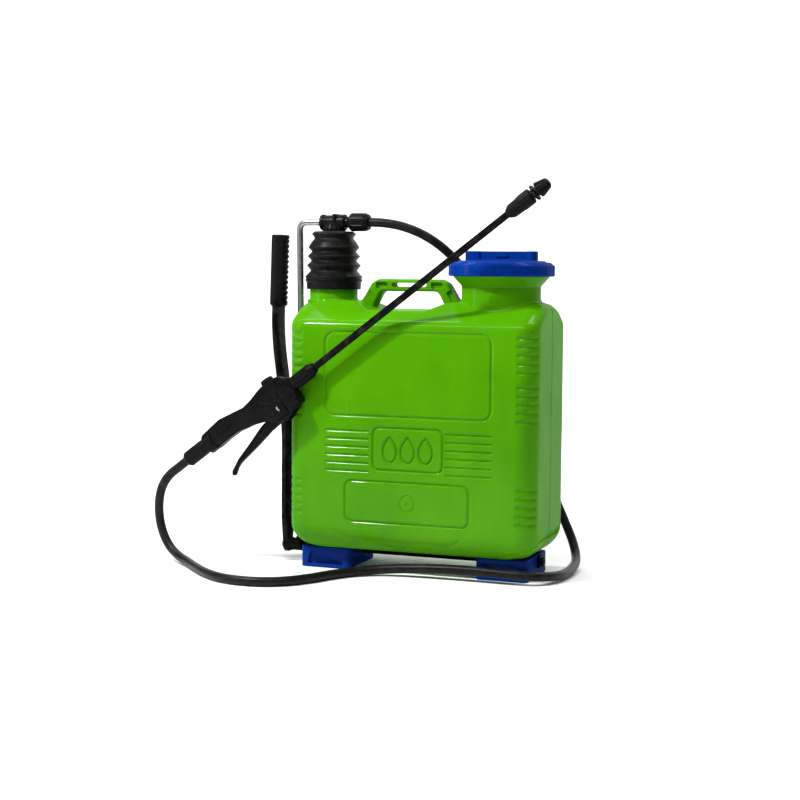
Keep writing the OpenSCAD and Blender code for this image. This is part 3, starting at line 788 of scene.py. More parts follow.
def hose_stretch(name, path, frames, finish, start_length):
    """One stretch of the hose, with its place along and around the hose kept on the mesh."""
    thing = solid(name, swept(path, round_section(size("hose_diameter") / 2), frames))
    mesh = thing.data
    run = np.concatenate([[0.0], np.cumsum(np.linalg.norm(np.diff(path, axis=0), axis=1))]) + start_length
    points = np.array([v.co for v in mesh.vertices]) / MM
    nearest = np.array([int(np.argmin(((path - p) ** 2).sum(axis=1))) for p in points])
    offset = points - path[nearest]
    angle = np.arctan2((offset * frames[1][nearest]).sum(axis=1), (offset * frames[0][nearest]).sum(axis=1))
    turn = (angle / FULL_TURN) % 1.0
    along = mesh.attributes.new("along", "FLOAT", "CORNER")
    around = mesh.attributes.new("around", "FLOAT", "CORNER")
    for face in mesh.polygons:
        own = [turn[v] for v in face.vertices]
        wraps = len(own) == 4 and max(own) - min(own) > 0.5
        for corner, vertex, value in zip(face.loop_indices, face.vertices, own):
            along.data[corner].value = run[nearest[vertex]] * MM
            around.data[corner].value = value + 1.0 if wraps and value < 0.5 else value
    smooth_shade(thing, finish, 60.0)
    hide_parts("hose")
    return thing


def make_hose():
    """The hose in two stretches that meet at one point of the route."""
    finish = finish_of("hose", hose_rubber)
    path = smooth_path(HOSE_ROUTE, HOSE_STEPS)
    side, across = carried_frames(path)
    split = HOSE_SPLIT * HOSE_STEPS
    first, rest = slice(0, split + 1), slice(split, None)
    before = float(np.linalg.norm(np.diff(path[first], axis=0), axis=1).sum())
    upper = hose_stretch("hose_upper", path[first], (side[first], across[first]), finish, 0.0)
    lower = hose_stretch("hose_lower", path[rest], (side[rest], across[rest]), finish, before)
    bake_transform(upper)
    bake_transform(lower)


# ---------------------------------------------------------------- tank
TANK_X, TANK_Y, TANK_CORNER = 180.0, 84.0, 28.0
UNDERSIDE, WALL_FROM, WALL_TO = 30.0, 64.0, 330.0
SHOULDER, SADDLE = 376.0, 364.0
FLAT_Y = 33.0
HANDLE_X, HANDLE_TOP = -24.0, 406.5


def shoulder_line():
    """Half depth and height of the tank's skin from the upright wall to the middle of the flat top."""
    return rounded([(TANK_Y, WALL_TO, 0), (TANK_Y, 346.2, 20), (FLAT_Y, SHOULDER, 16), (0, SHOULDER, 0)],
                   closed=False, step=5)


def respaced(path, spacing):
    """Points along a path, evenly spaced."""
    run = np.concatenate([[0.0], np.cumsum(np.linalg.norm(np.diff(path, axis=0), axis=1))])
    even = np.linspace(0, run[-1], int(run[-1] / spacing) + 1)
    return np.stack([np.interp(even, run, path[:, k]) for k in range(path.shape[1])], axis=1)


def saddle(x):
    """Height of the dip below the carrying handle."""
    return np.interp(x, [-120, -94, -70, 14, 40, 66], [389, SHOULDER, SADDLE, SADDLE, SHOULDER, 388])


def soft_least(a, b, soft=2.0):
    return 0.5 * (a + b - np.sqrt((a - b) ** 2 + soft ** 2))


def top_height(x, y):
    line = shoulder_line()[::-1]
    return soft_least(np.interp(np.abs(y), line[:, 0], line[:, 1]), saddle(x))


def half_width(z):
    low = np.clip((z - UNDERSIDE) / (WALL_FROM - UNDERSIDE), 0, 1)
    high = np.clip(z - 360.0, 0, 16.0)
    return np.minimum(150 + 30 * np.sqrt(1 - (1 - low) ** 2), TANK_X - 16 + np.sqrt(256 - high ** 2))


def furrow(distance, width):
    """Rounded groove section: 1 in the middle and 0 from half its width outwards."""
    return 0.5 + 0.5 * np.cos(math.pi * np.clip(np.abs(distance) / (width / 2), 0, 1))


def frame_distance(u, z, centre, half, radius):
    a = np.abs(u - centre[0]) - half[0] + radius
    b = np.abs(z - centre[1]) - half[1] + radius
    return np.hypot(np.maximum(a, 0), np.maximum(b, 0)) + np.minimum(np.maximum(a, b), 0) - radius


def stroke_distance(u, z, start, stop, height):
    return np.hypot(np.maximum(np.maximum(start - u, u - stop), 0), z - height)


def line_distance(u, z, points):
    """Distance to a line through points."""
    best = np.full(u.shape, 1e9)
    for (ax, az), (bx, bz) in zip(points[:-1], points[1:]):
        dx, dz = bx - ax, bz - az
        t = np.clip(((u - ax) * dx + (z - az) * dz) / (dx * dx + dz * dz), 0, 1)
        best = np.minimum(best, np.hypot(u - ax - t * dx, z - az - t * dz))
    return best


def drop_outline(centre_x, bottom, width, height):
    """Closed outline of a falling drop."""
    turn = np.linspace(-math.pi / 2, 1.5 * math.pi, 37)
    lift = (np.sin(turn) + 1) / 2
    half = width / 2 * np.cos(turn) * np.cos(lift ** 2 * math.pi / 2) ** 0.6 * 1.08
    return [(centre_x + h, bottom + l * height) for h, l in zip(half, lift)]


def tank_relief(u, y, z):
    """Depth of the moulded grooves; u runs from the middle of the front round the corners."""
    wide, deep = size("groove_width"), size("groove_depth")
    depth = np.zeros(u.shape)
    front = y < 0

    def carve(distance, width, amount, where):
        np.maximum(depth, np.where(where, amount * furrow(distance, width), 0), out=depth)

    carve(frame_distance(u, z, (0, 276.7), (119.8, 57), 14), wide, deep, front)
    carve(frame_distance(u, z, (0, 101.2), (89.6, 28.3), 10), wide, deep, front)
    carve(frame_distance(u, z, (2, 175), (50.5, 29), 9), wide, deep * 1.1, front)
    for row in range(6):
        height = 143 + 11.1 * row
        carve(stroke_distance(u, z, -118, -56, height), wide * 0.95, deep, front)
        carve(stroke_distance(u, z, 57, 121, height), wide * 0.95, deep, front)
    for centre in (-24, 2, 28):
        carve(line_distance(u, z, drop_outline(centre, 157, 19, 35)), 4.6, deep * 1.15, front)
    carve(np.hypot(u - 2, z - 101.5) - 10.5, 3.6, deep * 0.6, front)
    carve(np.hypot(u - 2, z - 101.5), 6.0, deep * 0.7, front)
    arch = [(-104, 59), (-96, 53), (-83, 48.5), (0, 46.5), (50, 46), (66, 48), (76, 54)]
    carve(line_distance(u, z, arch), 6.0, deep * 0.6, front)
    for base in (284.5, 219.0, 81.5):
        for row in range(5):
            far = stroke_distance(np.abs(u), z, 157, 185, base + 11.4 * row)
            carve(far, 8.0, size("rib_depth"), np.abs(u) > 140)
    ripple = 0.22 * np.sin(u / 37 + 1.3) * np.sin(z / 41 + 0.4) + 0.10 * np.sin(u / 17 + z / 23)
    ridge = np.where(np.abs(u) > 200, 0.55 * furrow(y, 2.6), 0)
    return depth - ridge - ripple


def tank_skin():
    spacing = 1.4
    bottom = [(56 + 28 * math.sin(t), UNDERSIDE + 34 * (1 - math.cos(t)))
              for t in np.linspace(0, math.pi / 2, 22)]
    wall = [(TANK_Y, z) for z in np.arange(WALL_FROM + spacing, WALL_TO, spacing)]
    rows = [(56 * k / 5, UNDERSIDE) for k in range(5)] + bottom + wall
    rows += [tuple(p) for p in respaced(shoulder_line(), 2.2)]
    shares = np.concatenate([np.linspace(-1, -0.83, 12)[:-1], np.linspace(-0.83, 0.83, 182),
                             np.linspace(0.83, 1, 12)[1:]])
    arc = np.linspace(0, math.pi / 2, 26)
    side = np.concatenate([np.linspace(-1, -0.04, 8), [-0.022, 0.0, 0.022], np.linspace(0.04, 1, 8)])
    rings = []
    for half, z in rows:
        wide = float(half_width(z))
        r = min(TANK_CORNER, half)
        a, b = wide - r, half - r
        spots = [(a * s, -half, 0, -1) for s in shares]
        spots += [(a + r * math.sin(t), -b - r * math.cos(t), math.sin(t), -math.cos(t)) for t in arc[1:]]
        spots += [(wide, b * s, 1, 0) for s in side[1:-1]]
        spots += [(a + r * math.cos(t), b + r * math.sin(t), math.cos(t), math.sin(t)) for t in arc]
        spots += [(a * s, half, 0, 1) for s in shares[-2::-1]]
        spots += [(-a - r * math.sin(t), b + r * math.cos(t), -math.sin(t), math.cos(t)) for t in arc[1:]]
        spots += [(-wide, b * s, -1, 0) for s in side[-2:0:-1]]
        spots += [(-a - r * math.cos(t), -b - r * math.sin(t), -math.cos(t), -math.sin(t)) for t in arc[:-1]]
        x, y, nx, ny = np.array(spots).T
        over = np.arctan2(np.maximum(np.abs(x) - a, 0), np.maximum(np.abs(y) - b, 1e-9))
        run = np.minimum(np.abs(x), a) + r * np.where(np.abs(x) > a, over, 0)
        run += np.where(np.abs(x) >= wide - 1e-6, np.maximum(b - np.abs(y), 0), 0)
        fade = min(1.0, half / 50)
        depth = tank_relief(np.sign(x) * run, y, np.full(x.shape, z)) * (fade if half > 0 else 0)
        height = soft_least(np.full(x.shape, z), saddle(x)) if z > 340 else np.full(x.shape, z)
        rings.append(np.stack([x - nx * depth, y - ny * depth, height], axis=1))
    return grid_form(rings, caps=False)


def neck_fillet(centre, radius, soft):
    """Ring that runs from the sloping shoulder up into an upright neck."""
    steps = 120
    angle = np.arange(steps) * FULL_TURN / steps
    x, y = np.cos(angle), np.sin(angle)
    rings = [np.stack([centre + (radius - 4) * x, (radius - 4) * y, np.full(steps, 340.0)], axis=1)]
    turns = np.linspace(0, math.pi / 2, 8)
    for k, t in enumerate([0.0, *turns]):
        r = radius + soft * (1 - math.sin(t))
        lift = soft * (1 - math.cos(t)) - (2.0 if k == 0 else 0.05)
        rings.append(np.stack([centre + r * x, r * y, top_height(centre + r * x, r * y) + lift], axis=1))
    inner = rings[-1].copy()
    inner[:, 0] = centre + (radius - 4) * x
    inner[:, 1] = (radius - 4) * y
    rings.append(inner)
    return grid_form(rings, along=True)


def thread(angle, height, low, pitch, depth, radius):
    phase = (height - low) / pitch - angle / FULL_TURN
    return 1 + depth / radius * np.maximum(np.cos(FULL_TURN * phase), 0) ** 2


def handle_form():
    outer = [(-88, 352, 0), (-80, 363, 12), (-56, 401, 10), (-46, HANDLE_TOP, 8), (46, HANDLE_TOP, 8),
             (56, 401, 10), (80, 363, 12), (88, 352, 0)]
    inner = [(54, 352, 0), (52, 371, 10), (42, 389.5, 9), (-42, 389.5, 9), (-52, 371, 10), (-54, 352, 0)]
    outline = rounded(outer + inner, step=9)[::-1]
    return moved(slab(outline, 12, 3.5, 5), upright((HANDLE_X, 0, 0)))


def make_tank():
    """Tank, necks and carrying handle in one moulding."""
    tank = solid("tank_shell", tank_skin())
    filler = [(0, 345), (54.5, 345), (54.5, 396), (54.7, 397.6), (55.4, 399), (65.6, 410.2), (66, 410.8),
              (66, 411.6), (60.6, 411.8)]
    filler += [(60.6, z) for z in np.arange(412.2, 422.6, 0.6)] + [(60.2, 423.1), (59.4, 423.5), (0, 423.5)]
    filler_neck = turned(filler, 120, lambda angle, z: thread(angle, z, 412, 4.2, 1.2, 60.6)
                         if 412 < z < 422.5 else np.ones(angle.shape))
    pump_neck = turned([(0, 345), (34, 345), (34, 401.4), (33.4, 402), (0, 402)])
    combine(tank, "UNION", handle_form(), neck_fillet(LID_X, 54.5, size("neck_fillet")),
            neck_fillet(PUMP_X, 34, size("neck_fillet") * 0.6), moved(filler_neck, standing((LID_X, 0, 0))),
            moved(pump_neck, standing((PUMP_X, 0, 0))))
    slot = moved(slab(soft_box(26, 2.75, 2.7), 15, 0.2, 2), upright((HANDLE_X, 0, 398.5)))
    pockets = []
    for side in (-1, 1):
        for face in (-1, 1):
            level = upright((HANDLE_X + side * 41, face * 12.6, 398))
            pockets.append(moved(slab(soft_box(8.5, 4.4, 2), 4.6, 1.0, 3), level))
            lean = np.array(upright((HANDLE_X + side * 63, face * 12.6, 383)))
            tilt = np.array(Matrix.Rotation(math.radians(-side * 56), 4, "Z"))
            pockets.append(moved(slab(soft_box(9, 4.2, 2), 4.6, 1.0, 3), lean @ tilt))
    pump_well = moved(turned([(0, 34), (30.5, 34), (30.5, 420), (0, 420)]), standing((PUMP_X, 0, 0)))
    mouth = [(0, 346), (50, 346), (50, 411), (57, 411.1), (57, 422.7), (58, 440), (0, 440)]
    combine(tank, "DIFFERENCE", slot, *pockets, pump_well, moved(turned(mouth), standing((LID_X, 0, 0))))
    dress(tank, green_skin(), "sprayer_body", ("tank", "carry_handle"), 40.0)


# ---------------------------------------------------------------- feet and cuff
def make_feet():
    low, high = (np.array(v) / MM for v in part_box("right_foot"))
    half = (high - low) / 2
    centre = (high + low) / 2
    for side, name in ((1, "right_foot"), (-1, "left_foot")):
        at = (side * centre[0], centre[1], centre[2])
        block = slab(soft_box(half[0], half[1], 6), half[2], 1.6, 4)
        foot = solid(name + "_shell", moved(block, standing(at)))
        window = rounded([(-27 * side, -9.5, 1.5), (27 * side, -9.5, 1.5), (22 * side, 8, 1.5),
                          (-27 * side, 8, 1.5)])
        window = window if side > 0 else window[::-1]
        recess = moved(slab(window, 5.5, 1.6, 3), upright((at[0], low[1], at[2])))
        bore = moved(slab(round_section(6.06, 40), 60, 0.3, 2), along_x((at[0], SHAFT_Y, SHAFT_Z)))
        wells = [moved(slab(round_section(5.6, 32), 5.5, 0.4, 2), standing((at[0], y, 0))) for y in (-40, 24)]
        combine(foot, "DIFFERENCE", recess, bore, *wells)
        dress(foot, blue_skin(), "sprayer_body", (name,))


def make_cuff():
    outer = rounded([(34.1, 391, 0), (38.6, 391, 1), (39, 400.4, 0), (39.4, 401.6, 0.5), (40.8, 403.0, 0.5),
                     (40.9, 405.1, 0.6), (34.1, 405.2, 0)], step=20)
    ribs = 48

    def swell(angle, height):
        return 1 - 0.012 * np.maximum(np.cos(ribs * angle), 0) * (392 < height < 399.5)
    form = moved(turned(outer, 288, swell, loop=True), standing((PUMP_X, 0, 0)))
    piece("cuff_ring", form, black_skin(), "sprayer_body", ("bellows_cuff",))


# ---------------------------------------------------------------- bellows and pump head
def make_bellows():
    folds = [(39.5, 405.3, 0), (41, 409, 0.8), (33, 417.5, 1.6), (38.7, 425, 0.8), (32, 431.5, 1.6),
             (37.6, 438, 0.8), (31.4, 444.5, 1.6), (36.6, 450.5, 0.8), (32.5, 457.5, 9), (27.5, 463.5, 1.6),
             (31.8, 469.5, 0.8), (28, 473, 1.2), (15, 473.7, 0)]
    outer = dense_rows(folds, 1.3, 20)
    thick = 2.2
    run = np.gradient(outer, axis=0)
    run /= np.linalg.norm(run, axis=1)[:, None]
    inner = outer + thick * np.stack([-run[:, 1], run[:, 0]], axis=1)
    inner[:, 1] = np.clip(inner[:, 1], 405.3, 471.6)
    inner[-1] = (15, 471.6)
    thing = piece("bellows_skin", moved(turned(np.vstack([outer, inner[::-1]]), loop=True),
                                        standing((PUMP_X, 0, 0))),
                  rubber_skin(), "sprayer_body", ("bellows",), 80.0)
    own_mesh(thing)


def make_pump_head():
    barrel = rounded([(0, -19.5, 0), (9.8, -19.5, 0.8), (11.3, -18.5, 0.6), (11.3, -14, 0.5),
                      (10.2, -13.4, 0.5), (10.2, 9, 0.5), (11.3, 9.6, 0.5), (11.3, 17.6, 0.8),
                      (10.4, 18.5, 0.6), (0, 18.5, 0)], closed=False, step=20)
    head = solid("pump_head_shell", moved(turned(barrel), along_x((PUMP_X, 0, HEAD_Z))))
    stem = dense_rows([(0, 463, 0), (14.9, 463, 0), (14.9, 473.9, 0.2), (17.2, 474.2, 0.6), (16.6, 477.5, 2),
                       (13.4, 483.5, 2), (11, HEAD_Z, 0), (0, HEAD_Z, 0)])
    ribs = 14

    def swell(angle, height):
        return 1 - 0.11 * np.maximum(np.cos(ribs * angle), 0) ** 3 * (474.5 < height)
    webs = [moved(slab(soft_box(13.5, 9, 2), 1.3, 0.6, 3), upright((PUMP_X, y, 481))) for y in (-7, 0, 7)]
    cross = moved(slab(soft_box(2, 10.8, 1), 11.8, 0.8, 3), upright((PUMP_X + 4, 0, 487)))
    combine(head, "UNION", moved(turned(stem, 144, swell), standing((PUMP_X, 0, 0))), *webs, cross)
    dress(head, black_skin(), "pump", ("pump_head",))


def fluted(ribs, depth, low, high, sharp=1.0):
    """Swell for a turned piece with ribs between two heights."""
    def swell(angle, height):
        wave = np.maximum(np.cos(ribs * angle), 0) ** sharp
        return 1 - depth * wave * (low < height < high)
    return swell


def make_hose_nut():
    low, high = (v / MM for v in (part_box("hose_nut")[0][0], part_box("hose_nut")[1][0]))
    outline = rounded([(6.6, low, 0), (8.4, low, 0.6), (13, low + 4.4, 1.0), (13, high - 6, 1.4),
                       (10.6, high, 0.8), (6.6, high, 0)], step=20)
    form = turned([(r, z - low) for r, z in outline_rows(outline, 1.2)], 144,
                  fluted(20, 0.075, 5, high - low - 7, 1.5), loop=True)
    piece("hose_nut_knurled", moved(form, along_x((low, 0, HEAD_Z))), black_skin(), "pump",
          ("hose_nut",))


def outline_rows(outline, spacing):
    """Outline with its long straight stretches cut into shorter ones."""
    rows = []
    for a, b in zip(outline, np.roll(outline, -1, axis=0)):
        cuts = max(1, int(np.linalg.norm(b - a) / spacing))
        rows += [a + (b - a) * k / cuts for k in range(cuts)]
    return np.array(rows)


def make_rod():
    """Rod from the pump head down to the crank, a little thicker above its cranked end."""
    route = rounded([(-151.5, 0, HEAD_Z, 0), (-195.3, 0, HEAD_Z, 10), (-204, 30, 44.2, 6),
                     (-190, 30, 44.2, 0)], closed=False, step=6)
    spacing = 6.0
    parts = [route[:1]]
    for a, b in zip(route[:-1], route[1:]):
        cuts = max(1, int(np.linalg.norm(b - a) / spacing))
        parts.append(np.array([a + (b - a) * (k + 1) / cuts for k in range(cuts)]))
    line = np.vstack(parts)
    crank_end, full_from, thicker = 110, 200, 1.2
    thick = np.interp(line[:, 2], [crank_end, full_from], [1.0, thicker])
    form = swept(line, round_section(size("rod_diameter") / 2, 28), carried_frames(line, (0, 1, 0)),
                 [(t, t) for t in thick])
    piece("connecting_rod_bent", form, finish_of("rod", drawn_steel), "pump",
          ("connecting_rod",), 50.0)


# ---------------------------------------------------------------- lever
ARM_LINE = [(-213, 20), (-213, 60), (-213, 120), (-213, 180), (-216.5, 225), (-222, 270), (-226.5, 305),
            (-228.5, 340), (-228, 374)]
ARM_HALF = (4.3, 16.0)
BOSS = 11.5


def make_lever_arm():
    line = smooth_path([(x, SHAFT_Y, z) for x, z in ARM_LINE], 6)
    count = len(line)
    side = np.tile([1.0, 0, 0], (count, 1))
    across = np.tile([0, 1.0, 0], (count, 1))
    widths = np.interp(line[:, 2], [20, 34, 60, 374], [BOSS - 1.5, BOSS + 0.6, ARM_HALF[1], ARM_HALF[1]])
    section = soft_box(ARM_HALF[0], ARM_HALF[1], 3.2)
    scale = [(1.0, w / ARM_HALF[1]) for w in widths]
    arm = solid("lever_arm_bar", swept(line, section, (side, across), scale))
    centre = (-213, SHAFT_Y, SHAFT_Z)
    boss = moved(slab(round_section(BOSS, 64), ARM_HALF[0], 2.4, 4), along_x(centre))
    sleeve = rounded([(0, -2, 0), (11, -2, 0), (10.4, 5, 2), (9.2, 9, 2), (9.2, 13.4, 0.6), (0, 13.4, 0)],
                     closed=False, step=15)
    combine(arm, "UNION", boss, moved(turned(sleeve), along_x(centre)))
    dress(arm, paint_skin(), "lever", ("lever_arm",))


def make_lever_grip():
    rows = dense_rows([(0, -7, 0), (9.6, -7, 0), (12.9, -3.5, 1), (12.9, 0, 0.5), (13.0, 94, 1.2),
                       (12.2, 96.4, 1.5), (0, 97, 0)], 0.8, 12)
    pitch, tooth_depth, faint_depth = 7.4, 0.12, 0.025

    def swell(angle, height):
        """Deep teeth on the finger side and faint ones opposite."""
        inside = 2 < height < 91
        turn = np.abs((angle - 0.05 + math.pi) % FULL_TURN - math.pi)
        wave = max(0.0, math.cos(FULL_TURN * (height - 10) / pitch)) ** 0.7
        toothed = np.clip((0.85 - turn) / 0.16, 0, 1) * wave * tooth_depth
        left = np.clip((0.5 - np.abs(math.pi - angle)) / 0.2, 0, 1) * wave * faint_depth
        return 1 - inside * (toothed + left)
    tilt = Matrix.Translation((-228, SHAFT_Y, 372)) @ Matrix.Rotation(math.radians(1.8), 4, "Y")
    piece("lever_grip_ribbed", moved(turned(rows, 128, swell), tilt), grip_skin(), "lever",
          ("lever_grip",), 38.0)


# ---------------------------------------------------------------- lid
def make_lid():
    rows = dense_rows([(0, 426, 0), (62.5, 426, 0), (62.5, 411.5, 0), (71.8, 411.5, 0.8), (73, 412.8, 0.8),
                       (73, 425.6, 1.6), (67, 430.8, 2), (61, 431.4, 0.8), (58.5, 433.0, 1),
                       (0, 433.4, 0)], 2.5, 15)
    facets = 18

    def swell(angle, height):
        notch = np.maximum(np.cos(facets * angle), 0) ** 40
        return 1 - 0.012 * notch * (412 < height < 429)
    lid = solid("lid_cap_moulded", moved(turned(rows, 360, swell), standing((LID_X, 0, 0))))
    grip_top, grip_half = 446.0, 46.0
    bar = moved(slab(soft_box(grip_half, 6, 3), 8.4, 1.4, 4), standing((LID_X, 0, grip_top - 8.6)))
    foot = moved(slab(soft_box(grip_half, 9, 4), 3, 1.2, 3), standing((LID_X, 0, 432)))
    blocks = [moved(slab(soft_box(half, 9, soft, 15), 8.5, 1.6, 4),
                    standing((LID_X + side * (grip_half - half + 4.5), 0, grip_top - 8.5)))
              for side, half, soft in ((-1, 11.0, 3.0), (1, 7.0, 6.0))]
    pad = slab(soft_box(9, 2.4, 2, 15), 1.4, 0.6, 3)
    thumb_pads = [moved(pad, upright((LID_X + 2, side * 6.4, grip_top - 6.0))) for side in (-1, 1)]
    combine(lid, "UNION", foot, bar, *blocks, *thumb_pads)
    dress(lid, blue_skin(), "lid", ("lid_cap",), 30.0)


# ---------------------------------------------------------------- gun, lance and nozzle
GUN_AT = (-156.6, -98.0, 264.5)
GUN_TILT = math.radians(37.2)
GUN_OUTLINE = [(-163, -5, 1), (-150, -6.2, 6), (-133, -5.3, 10), (-113, -5.7, 14), (-90, -10.6, 20),
               (-71, -17.6, 14), (-56, -29.5, 10), (-41, -36.5, 5), (-35, -35.3, 4), (-9, -26.5, 4),
               (-8, -17, 4), (-5.5, -11, 3), (-5.5, 11.5, 3), (-13, 16, 3), (-18, 22, 4), (-27, 24, 3),
               (-47, 24, 3), (-55, 22.5, 5), (-71, 18.9, 14), (-86, 17.3, 14), (-101, 20.3, 14),
               (-127, 25.5, 14), (-163, 22.5, 1)]


def gun_place(u=0.0, v=0.0):
    """Gun frame: X along the lance, Y across, Z above it."""
    c, s = math.cos(GUN_TILT), math.sin(GUN_TILT)
    return columns_matrix((c, 0, s), (0, 1, 0), (-s, 0, c),
                          (GUN_AT[0] + u * c - v * s, GUN_AT[1], GUN_AT[2] + u * s + v * c))


def gun_slab(outline, half, edge, u=0.0, v=0.0, across=0.0, steps=4):
    return moved(moved(slab(outline, half, edge, steps), upright((0, across, 0))), gun_place(u, v))


def gun_turned(profile, v=0.0, steps=None, swell=None, loop=None):
    """Profile of (radius, u) turned about a line along the lance."""
    return moved(moved(turned(profile, steps, swell, loop), along_x()), gun_place(0, v))


def counterclockwise(outline):
    x, y = outline[:, 0], outline[:, 1]
    area = float((x * np.roll(y, -1) - np.roll(x, -1) * y).sum())
    return outline if area > 0 else outline[::-1]


def dense_rows(corners, spacing=1.2, step=18):
    """Profile through rounded corners with rows close enough for ribs."""
    outline = rounded(corners, closed=False, step=step)
    rows = [outline[0]]
    for a, b in zip(outline[:-1], outline[1:]):
        cuts = max(1, int(np.linalg.norm(b - a) / spacing))
        rows += [a + (b - a) * (k + 1) / cuts for k in range(cuts)]
    return np.array(rows)


def make_gun():
    outline = counterclockwise(rounded(GUN_OUTLINE, step=8))
    gun = solid("gun_body_moulded", gun_slab(outline, 9.2, 2.2))
    cheek = counterclockwise(rounded([(-158, -3.5, 1), (-135, -3.2, 10), (-113, -3.7, 14), (-90, -8.6, 20),
                                      (-71, -15.6, 14), (-56, -26.8, 10), (-30, -30, 3), (-29.4, 8.2, 2),
                                      (-64, 9.6, 20), (-100, 10.6, 20), (-158, 12.8, 1)], step=8))
    block = counterclockwise(rounded([(-29, 6.4, 2), (-12.5, 3.4, 3), (-6.4, -11.5, 3), (-8.4, -26.2, 3),
                                      (-29, -30.6, 2)], step=10))
    cavity = counterclockwise(rounded([(-26.5, 10.5, 2), (-25, 19.6, 3), (-17, 20.4, 3), (-9.6, 11.5, 2),
                                       (-11.4, 6, 2)], step=10))
    collar = dense_rows([(0, -166, 0), (13.6, -166, 0.8), (14.6, -165, 0.8), (14.6, -153.4, 0.8),
                         (13.4, -152, 0.8),
                         (0, -152, 0)], 4)
    throat = dense_rows([(0, -8, 0), (8.4, -8, 0), (8.4, -5.4, 0.6), (7, -5, 0),
                         (7, 11.6, 0.3), (0, 12, 0)], 4)
    combine(gun, "UNION", gun_slab(cheek, 11, 1.8), gun_slab(block, 12.2, 1.6), gun_turned(collar, 8.2),
            gun_turned(throat))
    channel = soft_box(42.5, 20, 2)
    slit = soft_box(1.3, 4.0, 1.2)
    groove = dense_rows([(12.6, -150.6, 0), (20, -150.6, 0), (20, -149, 0), (12.6, -149, 0)], 4)
    combine(gun, "DIFFERENCE", gun_slab(channel, 5.4, 0.3, -62.5, -25.5), gun_slab(slit, 20, 0.2, -41, -15.5),
            gun_slab(cavity, 5, 0.6, across=-12), gun_slab(cavity, 5, 0.6, across=12),
            gun_slab(round_section(1.5, 24), 14, 0.3, -10.3, -21.5), gun_turned(groove, 8.2, loop=True))
    dress(gun, black_skin(), "gun", ("gun_body",), 32.0)
    # A pale crescent in the trigger slit stands for the gleam on the slit's edge: a painted highlight.
    arc = np.linspace(0.62 * math.pi, 1.38 * math.pi, 9)
    bend = [(0.9 + 2.6 * math.cos(t), 4.2 * math.sin(t)) for t in arc]
    half_turn = np.linspace(-math.pi / 2, math.pi / 2, 9)
    back = [(x + 0.2 + 1.1 * math.cos(t), y) for (x, y), t in zip(bend, half_turn)]
    gleam_crescent = counterclockwise(np.array(bend + back[::-1]))
    piece("trigger_spring_end", gun_slab(gleam_crescent, 11.3, 0.2, -41, -15.5), finish_of("natural", natural_plastic),
          "gun", (), 40.0)


def make_trigger():
    outline = counterclockwise(rounded(
        [(-22, -22, 4), (-23.5, -11, 4), (-34, -10, 6), (-60, -15.6, 20), (-83, -20, 20), (-111, -28.6, 20),
         (-137, -35.6, 14), (-155.5, -44, 5), (-158.3, -48, 3), (-157, -51.6, 2.4), (-153, -50, 3),
         (-146, -45.3, 8), (-137, -42.4, 12), (-105, -38.7, 16), (-72, -33.4, 14), (-54, -32.5, 10),
         (-34, -25, 4)], step=8))
    trigger = solid("trigger_moulded", gun_slab(outline, 5, 2.0))
    rib = counterclockwise(rounded([(-60, -19.5, 4), (-84, -24, 10), (-112, -31.5, 10), (-134, -37.4, 3),
                                    (-134, -39.4, 2), (-105, -36, 10), (-72, -30.5, 8),
                                    (-60, -29.5, 4)], step=8))
    hollows = [gun_slab(rib, 1.2, 0.5, across=s * 5) for s in (-1, 1)]
    combine(trigger, "DIFFERENCE", *hollows)
    finger = gun_slab(soft_box(1.95, 8, 0.4), 3, 0.4, -27.25, -9.2)
    combine(trigger, "UNION", finger)
    dress(trigger, black_skin(), "trigger", ("trigger",), 32.0)


def gun_piece(name, corners, body, node, v=0.0, swell=None, steps=144, spacing=1.2, loop=None):
    form = gun_turned(dense_rows(corners, spacing), v, steps, swell, loop)
    return piece(name, form, black_skin(), body, (node,), 34.0)


def make_gun_nuts():
    gun_piece("gun_hose_nut_ribbed", [(6.7, -207, 0), (7.8, -207, 0.6), (11.2, -202.6, 1.2),
                                      (11.2, -172, 0.5),
                                      (10.6, -171.4, 0.3), (10.6, -166.4, 0), (6.7, -166.1, 0)], "gun",
              "gun_hose_nut", 8.8, fluted(16, 0.05, -200, -174))
    gun_piece("lance_nut_ribbed", [(7.05, -5.0, 0), (9.6, -5.0, 0.6), (10.3, -4, 0.6), (10.3, 26.6, 1.2),
                                   (8.6, 29, 1.4), (8.2, 32, 1), (6.6, 34.8, 0.8), (4.9, 34.8, 0),
                                   (4.9, 13.2, 0),
                                   (7.05, 13.0, 0)], "gun", "lance_nut", 0.0,
              fluted(14, 0.09, -2.5, 24))
    cap = dense_rows([(0, 17, 0), (6, 17, 0), (6, 24, 0), (9.6, 24.2, 0.5), (10, 25, 0.5), (8.8, 29.6, 0.9),
                      (0, 30.4, 0)], 1.0)
    form = moved(moved(turned(cap, 144, fluted(18, 0.07, 24.4, 29.4)), standing()), gun_place(-36, 0))
    piece("valve_cap_knurled", form, black_skin(), "gun", ("valve_cap",))


